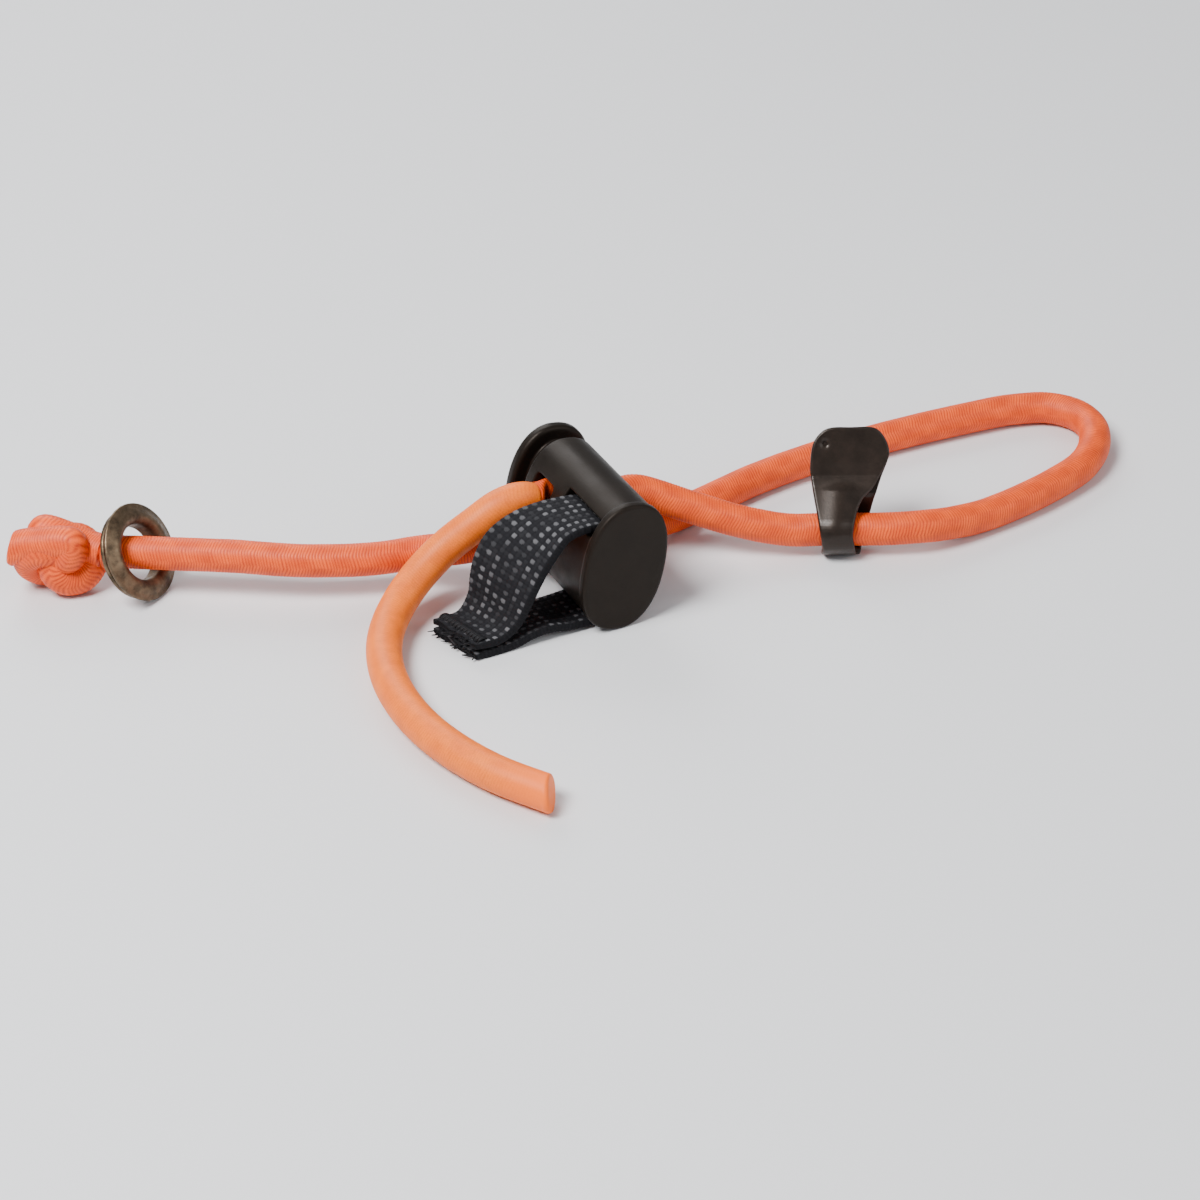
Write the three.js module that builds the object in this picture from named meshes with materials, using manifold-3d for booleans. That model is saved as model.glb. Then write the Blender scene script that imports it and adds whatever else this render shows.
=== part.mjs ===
// Cord lock on an elastic cord, with its tether tape, lace hook, eyelet and stopper knot.
// Millimetres, +Z up, floor at z = 0. The barrel lies along +Y: its closed end plate faces -Y at y = 0.
import * as THREE from "three";
import { mergeVertices } from "three/addons/utils/BufferGeometryUtils.js";
import Module from "manifold-3d";

const wasm = await Module();
wasm.setup();

// ---- driving dimensions ----
const GAP = 0.3; // between neighbours that touch on the real object
const SLIDE_GAP = 0.2; // running clearance round the plunger's bar and the pinched cord
const LEAN = THREE.MathUtils.degToRad(12); // how far the lock leans over towards +X

const CORD_D = 3.7;
const BODY = { a: 4.7, b: 7.4 }; // half width and half height of the barrel's oval
const LIP = 0.2; // how far the end plate and the button's flange stand proud of the barrel
const WALL = 1.2;
const PLATE_T = 1.2;
const TAPE_ZONE = 7.7; // width of the tape's slot and channel
const TAPE_T = 1.0;
const FLOOR_WALL = 0.8; // between the tape channel and the plunger's cavity
const BAR_T = 1.3; // the plunger's cross bar that squeezes the cord
const TRAVEL = 1.9;
const TOP_WALL = 1.7; // barrel above the cord hole
const FLANGE_T = 1.5;
const OVAL_POWER = 2.3; // of the ovals: a little squarer than an ellipse
const BRIDGE_T = 2.0; // barrel left over the tape slot
const BORE_D = 4.6; // spring bore
const BORE_Z = -1.0;
const SPRING = { od: 4.1, wire: 0.5, turns: 6 };
const SPIGOT = { d: 2.4, length: 1.5 };
const STRAND_GAP = 0.5; // between the two strands
const EYELET = { rim: 2.4, clear: 1.25, crown: 0.95, cloth: 0.5, washer: 0.5, wall: 0.4 };
const HOOK = { wall: 0.8, inner: CORD_D / 2 + 0.2, crease: 5.4, top: 11.4 };
const KNOT = { r: 4.6, length: 8.4 };

// ---- derived dimensions ----
const RIM = { a: BODY.a + LIP, b: BODY.b + LIP };
const STRAND_Z = (CORD_D + STRAND_GAP) / 2; // the two strands lie this far above and below the middle
const SLOT = { high: BODY.b - BRIDGE_T, low: BODY.b - BRIDGE_T - TAPE_T - 2 * GAP - 0.4 };
const EYE_HOLE = CORD_D / 2 + EYELET.clear;
const EYE_OUTER = EYE_HOLE + EYELET.rim;
const ZONE_END = PLATE_T + TAPE_ZONE;
const CAVITY = ZONE_END + FLOOR_WALL;
const HOLE_Y0 = CAVITY + SLIDE_GAP + BAR_T;
const HOLE_W = CORD_D + 2 * SLIDE_GAP;
const HOLE_Y1 = HOLE_Y0 + HOLE_W;
const HOLE_Y = (HOLE_Y0 + HOLE_Y1) / 2;
const HOLE_H = 2 * STRAND_Z + CORD_D + 0.7;
const OPEN_END = HOLE_Y1 + TOP_WALL;
const FLANGE_Y = OPEN_END + TRAVEL + SLIDE_GAP;
const PINCH_Y0 = HOLE_Y0 + TRAVEL + SLIDE_GAP; // pinched cord, low and high in y
const PINCH_Y1 = HOLE_Y1 - SLIDE_GAP;
const STEM = { a: BODY.a - WALL - GAP, b: BODY.b - WALL - GAP };
const CORE = { a: BODY.a - TAPE_T - GAP - 0.1, b: BODY.b - TAPE_T - GAP - 0.1 };
const LOCK_Z = reach(RIM);
const TAPE_Y0 = PLATE_T + GAP;
const TAPE_Y1 = ZONE_END - GAP;
const STRAND_END = BODY.a + 0.15; // where the pinched strands stop, and the free cords start GAP further out

// ---- helpers ----
const v2 = (x, y) => new THREE.Vector2(x, y);
const v3 = (x, y, z) => new THREE.Vector3(x, y, z);

function solid(geometry) {
  const g = geometry.clone();
  g.deleteAttribute("normal");
  g.deleteAttribute("uv");
  const m = mergeVertices(g, 1e-4);
  return new wasm.Manifold(
    new wasm.Mesh({
      numProp: 3,
      vertProperties: new Float32Array(m.attributes.position.array),
      triVerts: new Uint32Array(m.index.array),
    }),
  );
}

function geometryOf(manifold) {
  const m = manifold.getMesh();
  const g = new THREE.BufferGeometry();
  g.setAttribute("position", new THREE.BufferAttribute(new Float32Array(m.vertProperties), 3));
  g.setIndex(new THREE.BufferAttribute(new Uint32Array(m.triVerts), 1));
  g.computeVertexNormals();
  return g;
}

const materials = {
  plastic: new THREE.MeshStandardMaterial({ color: 0x1d1b1a, roughness: 0.45 }),
  steel: new THREE.MeshStandardMaterial({ color: 0xb4b6b8, metalness: 1, roughness: 0.3 }),
  tape: new THREE.MeshStandardMaterial({ color: 0x17171a, roughness: 0.95 }),
  thread: new THREE.MeshStandardMaterial({ color: 0x0e0e10, roughness: 0.9 }),
  elastic: new THREE.MeshStandardMaterial({ color: 0xe0562a, roughness: 0.75 }),
  gunmetal: new THREE.MeshStandardMaterial({ color: 0x3a3431, metalness: 0.8, roughness: 0.4 }),
  brass: new THREE.MeshStandardMaterial({ color: 0x5c4a36, metalness: 0.9, roughness: 0.4 }),
};

function mesh(name, shape, material) {
  const g = shape.isBufferGeometry ? shape : geometryOf(shape);
  const m = new THREE.Mesh(g, materials[material].clone());
  m.name = name;
  return m;
}

// A closed outline in the local X-Z plane, as a slab from y0 to y1 with an optional rounded edge.
function slab(outline, y0, y1, edge = 0) {
  const g = new THREE.ExtrudeGeometry(outline, {
    depth: y1 - y0 - 2 * edge,
    bevelEnabled: edge > 0,
    bevelThickness: edge,
    bevelSize: edge,
    bevelOffset: -edge,
    bevelSegments: 2,
    curveSegments: 48,
    steps: 1,
  });
  return g.rotateX(Math.PI / 2).translate(0, y1 - edge, 0);
}

const polygon = (points) => new THREE.Shape(points.map(([x, y]) => v2(x, y)));

function circle(r, sides) {
  const points = [];
  for (let i = 0; i < sides; i++) {
    const t = (2 * Math.PI * (i + 0.5)) / sides;
    points.push([r * Math.cos(t), r * Math.sin(t)]);
  }
  return polygon(points);
}

// The ovals are superellipses: |x/a|^n + |z/b|^n = 1.
function ovalPoint({ a, b }, t) {
  const part = (v) => Math.sign(v) * Math.abs(v) ** (2 / OVAL_POWER);
  return [a * part(Math.cos(t)), b * part(Math.sin(t))];
}

const ovalHalfWidth = ({ a, b }, z) => a * (1 - Math.abs(z / b) ** OVAL_POWER) ** (1 / OVAL_POWER);

// How far a leaned oval reaches below its middle.
function reach({ a, b }) {
  const q = OVAL_POWER / (OVAL_POWER - 1);
  return ((a * Math.sin(LEAN)) ** q + (b * Math.cos(LEAN)) ** q) ** (1 / q);
}

function oval(size, sides = 56) {
  const points = [];
  for (let i = 0; i < sides; i++) points.push(ovalPoint(size, (2 * Math.PI * i) / sides));
  return polygon(points);
}

const box = (x0, x1, y0, y1, z0, z1) =>
  new THREE.BoxGeometry(x1 - x0, y1 - y0, z1 - z0).translate((x0 + x1) / 2, (y0 + y1) / 2, (z0 + z1) / 2);

// The lock's local X-Z plane and the world's, about the leaned lock's middle.
const toWorld = (x, z) => [
  x * Math.cos(LEAN) + z * Math.sin(LEAN),
  LOCK_Z - x * Math.sin(LEAN) + z * Math.cos(LEAN),
];
const toLocal = (x, z) => [
  x * Math.cos(LEAN) - (z - LOCK_Z) * Math.sin(LEAN),
  x * Math.sin(LEAN) + (z - LOCK_Z) * Math.cos(LEAN),
];

// A round cord along a smooth route through hand-set points.
function cord(points, steps) {
  const path = new THREE.CatmullRomCurve3(points.map((p) => v3(...p)), false, "centripetal");
  return new THREE.ExtrudeGeometry(circle(CORD_D / 2, 8), { steps, extrudePath: path, bevelEnabled: false });
}

// ---- barrel ----
// Right through along X, with rounded corners: y0 to y1 along the barrel, and half its height above and below
// the middle.
function cordHole(y0, y1, half, r = 0.6) {
  const s = new THREE.Shape();
  s.absarc(half - r, y0 + r, r, -Math.PI / 2, 0, false);
  s.absarc(half - r, y1 - r, r, 0, Math.PI / 2, false);
  s.absarc(-half + r, y1 - r, r, Math.PI / 2, Math.PI, false);
  s.absarc(-half + r, y0 + r, r, Math.PI, 1.5 * Math.PI, false);
  const g = new THREE.ExtrudeGeometry(s, { depth: 14, bevelEnabled: false, curveSegments: 6 });
  return g.rotateY(-Math.PI / 2).translate(7, 0, 0); // the outline's x runs along the lock's z
}

function barrel() {
  let s = solid(slab(oval(RIM), 0, PLATE_T, 0.3)).add(solid(slab(oval(BODY), PLATE_T / 2, OPEN_END, 0.2)));
  const core = solid(slab(oval(CORE), PLATE_T - 1, ZONE_END + 1));
  const slot = solid(box(-8, CORE.a + 0.1, PLATE_T, ZONE_END, SLOT.low, SLOT.high));
  const flank = solid(box(0, 8, PLATE_T, ZONE_END, -9, SLOT.high));
  const clear = LOCK_Z - reach(CORE); // the core's lowest line
  const under = polygon([toLocal(-9, -2), toLocal(1, -2), toLocal(1, clear), toLocal(-9, clear)]);
  const channel = flank.add(solid(slab(under, PLATE_T, ZONE_END))).subtract(core);
  s = s.subtract(channel).subtract(slot);
  const cavity = slab(oval({ a: BODY.a - WALL, b: BODY.b - WALL }), CAVITY, OPEN_END + 1);
  const bore = new THREE.CylinderGeometry(BORE_D / 2, BORE_D / 2, CAVITY + 0.5 - 2, 32)
    .translate(0, (CAVITY + 0.5 + 2) / 2, 0)
    .translate(0, 0, BORE_Z);
  return s
    .subtract(solid(cavity))
    .subtract(solid(bore))
    .subtract(solid(cordHole(HOLE_Y0, HOLE_Y1, HOLE_H / 2)));
}

// ---- plunger: flange, stem with its own cord hole, spring spigot ----
function plunger() {
  const barY = HOLE_Y0 + TRAVEL - BAR_T;
  const stem = solid(slab(oval(STEM), barY, FLANGE_Y + 0.5));
  const flange = solid(slab(oval(RIM), FLANGE_Y, FLANGE_Y + FLANGE_T, 0.4));
  const spigot = new THREE.CylinderGeometry(SPIGOT.d / 2, SPIGOT.d / 2, SPIGOT.length + 0.5, 24).translate(
    0,
    barY + (0.5 - SPIGOT.length) / 2,
    BORE_Z,
  );
  return stem
    .add(flange)
    .add(solid(spigot))
    .subtract(solid(cordHole(HOLE_Y0 + TRAVEL, HOLE_Y1 + TRAVEL, HOLE_H / 2)));
}

function spring() {
  const y0 = 2 + GAP + SPRING.wire / 2;
  const y1 = HOLE_Y0 + TRAVEL - BAR_T - GAP - SPRING.wire / 2;
  const r = (SPRING.od - SPRING.wire) / 2;
  class Helix extends THREE.Curve {
    getPoint(t, out = v3(0, 0, 0)) {
      const turn = 2 * Math.PI * SPRING.turns * t;
      return out.set(r * Math.cos(turn), y0 + (y1 - y0) * t, BORE_Z + r * Math.sin(turn));
    }
  }
  return new THREE.ExtrudeGeometry(circle(SPRING.wire / 2, 6), {
    steps: 14 * SPRING.turns - 4,
    extrudePath: new Helix(),
    bevelEnabled: false,
  });
}

// A strand as the plunger squeezes it: thin inside the plunger's hole, nearly round at the barrel's walls.
function pinchedStrand(z) {
  const y0 = HOLE_Y - CORD_D / 2;
  const half = [
    [STRAND_END, y0],
    [BODY.a - 0.4, y0 + 0.3],
    [STEM.a + 0.6, PINCH_Y0 - 0.5],
    [STEM.a + 0.2, PINCH_Y0],
  ];
  const outline = polygon([
    ...half.map(([x, y]) => [-x, y]),
    ...half.reverse(),
    [STRAND_END, PINCH_Y1],
    [-STRAND_END, PINCH_Y1],
  ]);
  const wide = CORD_D - 0.2;
  const g = new THREE.ExtrudeGeometry(outline, { depth: wide, bevelEnabled: false });
  g.translate(0, 0, z - wide / 2);
  const round = cordHole(y0, y0 + CORD_D, wide / 2, 1.0).translate(0, 0, z);
  return solid(g).intersect(solid(round));
}

// ---- tape: a strip round the barrel's core, both ends sewn together in a tab at the left ----
const TAB = { x0: -18.2, x1: -15.2, low: TAPE_T / 2, high: 1.5 * TAPE_T + GAP, skew: 0.95 };

// Where the tape is free, its near and far edges part: a point gives x, z, and how far right and up the near edge
// leads. Along the lower layer, z is above the floor's layer.
const ARCH = [[-13.2, 0.1, TAB.skew, 0.1], [-11.2, 0.4, 0.7, 0.3], [-8.6, 0.5, 0.4, 0.4], [-6.0, 0.25, 0.2, 0.2]];
// Along the drape from the slot's mouth down to the tab, z is a share of the drop.
const DRAPE = [
  [-6.3, 0.99, 0.5, -0.25], [-8.6, 0.89, 1.1, -0.8], [-10.6, 0.73, 1.6, -1.1], [-11.9, 0.53, 1.7, -1.0],
  [-12.7, 0.34, 1.5, -0.8], [-13.4, 0.16, 1.2, -0.4],
];

// The middle line of one edge of the tape in the X-Z plane: near is 1 for the edge by the plate, -1 for the other.
function tapeLine(near) {
  const { x0, x1, low, high, skew } = TAB;
  const line = [];
  const free = (x, z, right, up) => line.push([x + near * right, z + near * up]);
  free(x0, low, skew, 0);
  free(x1, low, skew, 0);
  for (const [x, z, right, up] of ARCH) free(x, low + z, right, up);

  const path = { a: CORE.a + GAP + TAPE_T / 2, b: CORE.b + GAP + TAPE_T / 2 };
  const mid = SLOT.low + GAP + TAPE_T / 2 + 0.1;
  const bend = TAPE_T / 2 + 0.5; // radius of the turn from the core's side into the slot
  const bendZ = mid - bend;
  const bendX = ovalHalfWidth(path, bendZ) - bend;
  for (let t = -1.5; path.b * Math.sin(t) < bendZ - 0.4; t += 0.165) line.push(toWorld(...ovalPoint(path, t)));
  for (let t = 0.1; t < 1.6; t += 0.35) line.push(toWorld(bendX + bend * Math.cos(t), bendZ + bend * Math.sin(t)));
  const mouthX = 0.7 - BODY.a;
  for (const x of [bendX - 1.2, -0.8, mouthX]) line.push(toWorld(x, mid));

  const drop = toWorld(mouthX, mid)[1] - high;
  for (const [x, share, right, up] of DRAPE) free(x, high + drop * share, right, up);
  free(x1, high, skew, 0);
  free(x0, high, skew, 0);
  return new THREE.SplineCurve(line.map(([x, z]) => v2(x, z)));
}

// A strip between the near edge's line and the far edge's line.
function tape() {
  const edges = [tapeLine(1), tapeLine(-1)];
  const n = 84;
  const rings = [];
  for (let i = 0; i <= n; i++) {
    const [near, far] = edges.map((line) => {
      const p = line.getPoint(i / n);
      const t = line.getTangent(i / n).multiplyScalar(TAPE_T / 2);
      return [[p.x - t.y, p.y + t.x], [p.x + t.y, p.y - t.x]];
    });
    rings.push([
      v3(near[0][0], TAPE_Y0, near[0][1]), v3(far[0][0], TAPE_Y1, far[0][1]),
      v3(far[1][0], TAPE_Y1, far[1][1]), v3(near[1][0], TAPE_Y0, near[1][1]),
    ]);
  }
  return tackLegs(GAP).reduce((s, leg) => s.subtract(solid(leg)), solid(loft(rings)));
}

// A closed body through rings of equal numbers of points, with flat ends.
function loft(rings) {
  const count = rings[0].length;
  const index = [];
  for (let i = 0; i + 1 < rings.length; i++)
    for (let j = 0; j < count; j++) {
      const [a, b] = [i * count + j, i * count + ((j + 1) % count)];
      index.push(a, a + count, b, b, a + count, b + count);
    }
  const last = (rings.length - 1) * count;
  for (let j = 1; j + 1 < count; j++) index.push(0, j, j + 1, last, last + j + 1, last + j);
  const g = new THREE.BufferGeometry().setFromPoints(rings.flat());
  g.setIndex(index);
  return g;
}

const TACK = { width: 0.7, leg: 0.5, legs: 4, thick: 0.35, inset: 1.1 };

// Where the tack's line crosses the tape, at a given y: it runs along the tab's turned end.
function tackX(y) {
  const middle = (TAPE_Y0 + TAPE_Y1) / 2;
  return TAB.x0 + TACK.inset + (TAB.skew * (middle - y)) / (middle - TAPE_Y0);
}

function tackLegs(grow) {
  const half = TACK.leg / 2 + grow;
  const span = TAPE_Y1 - TAPE_Y0 - 1.6;
  const legs = [];
  for (let i = 0; i < TACK.legs; i++) {
    const y = TAPE_Y0 + 0.8 + (span * i) / (TACK.legs - 1);
    const x = tackX(y);
    const z0 = grow > 0 ? -1 : 0.15;
    const z1 = grow > 0 ? 4 : TAB.high + TAPE_T / 2 + GAP + TACK.thick / 2;
    legs.push(box(x - half, x + half, y - half, y + half, z0, z1));
  }
  return legs;
}

function bartack() {
  const z = TAB.high + TAPE_T / 2 + 0.15;
  const half = TACK.width / 2;
  const corners = [[-half, 0], [half, 0], [half, TACK.thick], [-half, TACK.thick]];
  const ring = (y) => corners.map(([side, up]) => v3(tackX(y) + side, y, z + up));
  const bar = solid(loft([ring(TAPE_Y0 + 0.4), ring(TAPE_Y1 - 0.4)]));
  return tackLegs(0).reduce((s, leg) => s.add(solid(leg)), bar);
}

// ---- cords outside the lock ----
const outside = (side, z, more = 0) => {
  const [x, h] = toWorld(side * (STRAND_END + GAP + more), z);
  return [x, HOLE_Y, h];
};
const EYE_TURN = THREE.MathUtils.degToRad(-51); // the way the eyelet faces, and how far it looks up
const EYE_TILT = THREE.MathUtils.degToRad(27);
const EYE_AT = v3(-44.2, 31.8, EYE_OUTER * Math.cos(EYE_TILT) + 0.05);
const EYE_RUN = v3(Math.cos(THREE.MathUtils.degToRad(-32)), Math.sin(THREE.MathUtils.degToRad(-32)), 0);
const HOOK_AT = v3(29.1, 2.1, HOOK.inner + HOOK.wall + 0.1);
const HOOK_TURN = THREE.MathUtils.degToRad(-27);
const HOOK_RUN = v3(Math.cos(HOOK_TURN), Math.sin(HOOK_TURN), 0);
const along = (at, run, s) => at.clone().addScaledVector(run, s).toArray();
const LOW = CORD_D / 2;
const KNOT_S = -4.2; // the knot's near face, measured along the run from the eyelet

const tailRoute = [
  outside(-1, STRAND_Z), outside(-1, STRAND_Z, 1.6), [-8.7, 13.4, 10.6], [-11.4, 13.7, 9.1], [-15.2, 14.2, 6.6],
  [-19.0, 13.3, 4.4], [-22.6, 10.9, 2.7], [-25.6, 6.8, 2.0], [-27.7, 0.9, LOW], [-28.4, -6.1, LOW],
  [-27.6, -12.9, LOW], [-25.2, -20.0, LOW], [-21.6, -26.2, LOW],
];
const eyeletRoute = [
  outside(-1, -STRAND_Z), outside(-1, -STRAND_Z, 2.2), [-11.2, 15.6, 5.1], [-16, 18.4, 4.2], [-21.4, 19.4, 4.3],
  [-28.7, 22.3, 4.6], along(EYE_AT, EYE_RUN, 10.5), along(EYE_AT, EYE_RUN, 7), along(EYE_AT, EYE_RUN, 3.5),
  along(EYE_AT, EYE_RUN, 0), along(EYE_AT, EYE_RUN, KNOT_S + GAP),
];
const loopRoute = [
  outside(1, STRAND_Z), outside(1, STRAND_Z, 2.6), [13.0, 10.9, 5.9], [18.0, 7.8, 4.1],
  along(HOOK_AT, HOOK_RUN, -7), along(HOOK_AT, HOOK_RUN, -3.5), along(HOOK_AT, HOOK_RUN, 0),
  along(HOOK_AT, HOOK_RUN, 3.5), [36.0, -0.9, 2.9], [40.0, -1.2, 2.4], [44.8, -0.8, LOW],
  [50.4, 0.0, LOW], [55.6, 1.3, LOW], [60.3, 3.1, LOW], [64.0, 6.1, LOW], [66.3, 9.9, LOW], [66.4, 13.4, LOW],
  [64.5, 16.3, LOW], [60.3, 18.1, LOW], [54, 18.9, LOW], [46, 19.4, LOW], [36, 19.4, LOW], [26, 18.3, LOW],
  [17.5, 16.3, LOW], [11.5, 14.4, 2.5], outside(1, -STRAND_Z, 2.6), outside(1, -STRAND_Z),
];

// ---- hook: a flat paddle whose lower half splits round the cord ----
// Its own frame has x along the cord, z up the paddle and y back.
// Outline in the local y-z plane of a drop: a circle round the cord drawn up to a point.
function drop(r, tip, half) {
  const s = [];
  const reach = Math.hypot(tip, half);
  const turn = Math.acos(r / reach);
  const start = Math.atan2(tip, half) - turn;
  const end = Math.PI - start;
  s.push([half, tip]);
  for (let i = 0; i <= 22; i++) {
    const t = start - ((start - end + 2 * Math.PI) * i) / 22;
    s.push([r * Math.cos(t), r * Math.sin(t)]);
  }
  s.push([-half, tip]);
  return polygon(s);
}

function sideSlab(outline, x0, x1) {
  const g = new THREE.ExtrudeGeometry(outline, { depth: x1 - x0, bevelEnabled: false });
  // the outline's x runs back (+y), its y runs up the paddle (+z), its depth runs along the cord (+x)
  const turn = new THREE.Matrix4().makeBasis(v3(0, 1, 0), v3(0, 0, 1), v3(1, 0, 0));
  return g.applyMatrix4(turn).translate(x0, 0, 0);
}

function faceSlab(points, y0, y1) {
  const curve = new THREE.SplineCurve([...points, points[0]].map(([x, y]) => v2(x, y)));
  return slab(new THREE.Shape(curve.getPoints(72).slice(0, -1)), y0, y1);
}

// The paddle's shared corners: from the top edge down the right side, and up the left side to the top.
const PADDLE_RIGHT = [
  [-1.9, HOOK.top], [0, HOOK.top], [2.3, HOOK.top], [3.4, HOOK.top - 0.6], [4.2, 9.3], [4.2, 7.9],
];
const PADDLE_LEFT = [[-4.45, 6.0], [-4.45, 8.2], [-4.1, 9.8], [-3.1, 11.0]];

function hook() {
  const w = HOOK.wall / 2;
  const paddle = solid(box(-6, 6, -w, w, HOOK.crease - 0.6, HOOK.top + 1));
  const eye = solid(sideSlab(drop(HOOK.inner + HOOK.wall, HOOK.crease + 0.2, w), -6, 6)).subtract(
    solid(sideSlab(drop(HOOK.inner, HOOK.crease - 1.6, 0.05), -7, 7)),
  );
  // Front strip: left of the paddle, narrowing down and curling under the cord.
  const front = faceSlab(
    [
      ...PADDLE_RIGHT,
      [3.3, 6.1], [2.4, 4.6], [1.4, 3.6], [0.8, 2.6], [0.35, 1.0], [0.1, -0.6], [0.4, -2.2], [0.7, -3.6],
      [-1.4, -4.0], [-3.1, -3.6], [-3.3, -1.8], [-3.6, 0], [-3.9, 2.0], [-4.2, 4.0],
      ...PADDLE_LEFT,
    ],
    -6,
    0,
  );
  // Rear leg: the right-hand side of the plate, behind the cord.
  const back = faceSlab(
    [
      ...PADDLE_RIGHT,
      [3.4, 5.8], [2.7, 3.6], [2.2, 1.6], [1.7, -0.6], [1.1, -2.4], [0.7, -3.6], [-1.4, -4.0],
      [-3.1, -3.6], [-3.1, -1.8], [-2.6, -0.4], [-1.2, 1.2], [0.2, 2.6], [-0.5, 3.7], [-3.6, 4.4],
      ...PADDLE_LEFT,
    ],
    -0.02,
    6,
  );
  return paddle.add(eye).intersect(solid(front).add(solid(back)));
}

// ---- eyelet: lathe profiles about its own axis ----
const lathe = (points, sides = 40) => new THREE.LatheGeometry(points.map(([r, y]) => v2(r, y)), sides);

function eyelet() {
  const { crown, cloth, washer, wall } = EYELET;
  const [hole, outer] = [EYE_HOLE, EYE_OUTER];
  const back = -(cloth + washer + 0.1);
  // dished rim: its edge on the cloth, rising inwards to the crown, and rolled over into the tube
  return lathe([
    [hole, back], [hole + wall, back], [hole + wall, 0], [outer - 0.25, 0], [outer, 0.15], [outer - 0.08, 0.42],
    [outer - 0.6, 0.62], [hole + 1.3, crown - 0.06], [hole + 0.85, crown], [hole + 0.4, crown - 0.12],
    [hole + 0.1, crown - 0.45], [hole, crown - 0.85], [hole, back],
  ]);
}

function eyeletWasher() {
  const { cloth, washer, wall } = EYELET;
  const inner = EYE_HOLE + wall + GAP;
  const outer = EYE_OUTER - 0.5;
  return lathe([
    [inner, -cloth - washer], [outer - 0.25, -cloth - washer], [outer, -cloth - washer * 0.5],
    [outer - 0.25, -cloth], [inner, -cloth], [inner, -cloth - washer],
  ]);
}

function knot() {
  const { r, length } = KNOT;
  const points = [[0, 0]];
  const lumps = [[0.5, 0.02], [0.82, 0.12], [0.98, 0.3], [0.9, 0.5], [1.0, 0.7], [0.84, 0.88], [0.5, 0.98]];
  for (const [out, along] of lumps) points.push([r * out, length * along]);
  points.push([0, length]);
  return lathe(points, 18);
}

// ---- assembly ----
// The part's origin is the middle of the sewn tab's underside, where the tape is stitched to a garment.
const part = new THREE.Group();
part.name = "cord_lock_part";
const assembly = new THREE.Group();
assembly.position.set(-(TAB.x0 + TAB.x1) / 2, -(TAPE_Y0 + TAPE_Y1) / 2, 0);
part.add(assembly);

const lock = new THREE.Group();
lock.rotation.y = LEAN;
lock.position.z = LOCK_Z;
lock.add(mesh("barrel", barrel(), "plastic"));
lock.add(mesh("plunger", plunger(), "plastic"));
lock.add(mesh("spring", spring(), "steel"));
lock.add(mesh("cord_pinch_upper", pinchedStrand(STRAND_Z), "elastic"));
lock.add(mesh("cord_pinch_lower", pinchedStrand(-STRAND_Z), "elastic"));
assembly.add(lock);

assembly.add(mesh("tether_tape", tape(), "tape"));
assembly.add(mesh("tape_bartack", bartack(), "thread"));
assembly.add(mesh("cord_tail", cord(tailRoute, 32), "elastic"));
assembly.add(mesh("cord_eyelet_side", cord(eyeletRoute, 30), "elastic"));
assembly.add(mesh("cord_loop", cord(loopRoute, 64), "elastic"));

const hookFrame = new THREE.Group();
hookFrame.position.copy(HOOK_AT);
hookFrame.rotation.set(THREE.MathUtils.degToRad(-28), 0, HOOK_TURN, "ZYX");
hookFrame.add(mesh("hook", hook(), "gunmetal"));
assembly.add(hookFrame);

// The lathes turn about local Y, which points out of the eyelet's face. The cord crosses the tube's middle.
const level = Math.cos(EYE_TILT);
const eyeAxis = v3(level * Math.cos(EYE_TURN), level * Math.sin(EYE_TURN), Math.sin(EYE_TILT));
const eyeletFrame = new THREE.Group();
eyeletFrame.quaternion.setFromUnitVectors(v3(0, 1, 0), eyeAxis);
eyeletFrame.position.copy(EYE_AT).addScaledVector(eyeAxis, (EYELET.cloth + EYELET.washer - EYELET.crown) / 2);
eyeletFrame.add(mesh("eyelet", eyelet(), "brass"));
eyeletFrame.add(mesh("eyelet_washer", eyeletWasher(), "brass"));
assembly.add(eyeletFrame);

const knotMesh = mesh("stopper_knot", knot(), "elastic");
knotMesh.position.set(...along(EYE_AT, EYE_RUN, KNOT_S));
knotMesh.rotation.z = THREE.MathUtils.degToRad(-32 + 90); // its length runs away from the lock
assembly.add(knotMesh);

export default part;
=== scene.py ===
"""Cord lock on an elastic cord: the looks, as a Blender add-on laid out round the CAD frame.

Lengths in the working functions are millimetres in the part's own frame, and become metres when a mesh is made.
"""

import math

import bpy
import numpy as np
from bpy.props import FloatProperty, FloatVectorProperty, PointerProperty
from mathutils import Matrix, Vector


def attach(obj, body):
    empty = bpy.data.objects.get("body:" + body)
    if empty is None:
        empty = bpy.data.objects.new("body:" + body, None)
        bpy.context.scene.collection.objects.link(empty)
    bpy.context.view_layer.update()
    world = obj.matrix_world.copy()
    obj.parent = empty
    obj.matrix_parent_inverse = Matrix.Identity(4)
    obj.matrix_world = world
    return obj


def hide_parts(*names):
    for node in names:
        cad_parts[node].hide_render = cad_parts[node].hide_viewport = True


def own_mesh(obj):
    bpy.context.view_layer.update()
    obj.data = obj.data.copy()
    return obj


bl_info = {
    "name": "Cord lock",
    "version": (1, 0, 0),
    "blender": (4, 5, 0),
    "location": "3D View > Sidebar > Cord lock",
    "description": "Builds the looks of a spring cord lock with its elastic cord, tape, hook and eyelet",
    "category": "Add Mesh",
}

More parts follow.
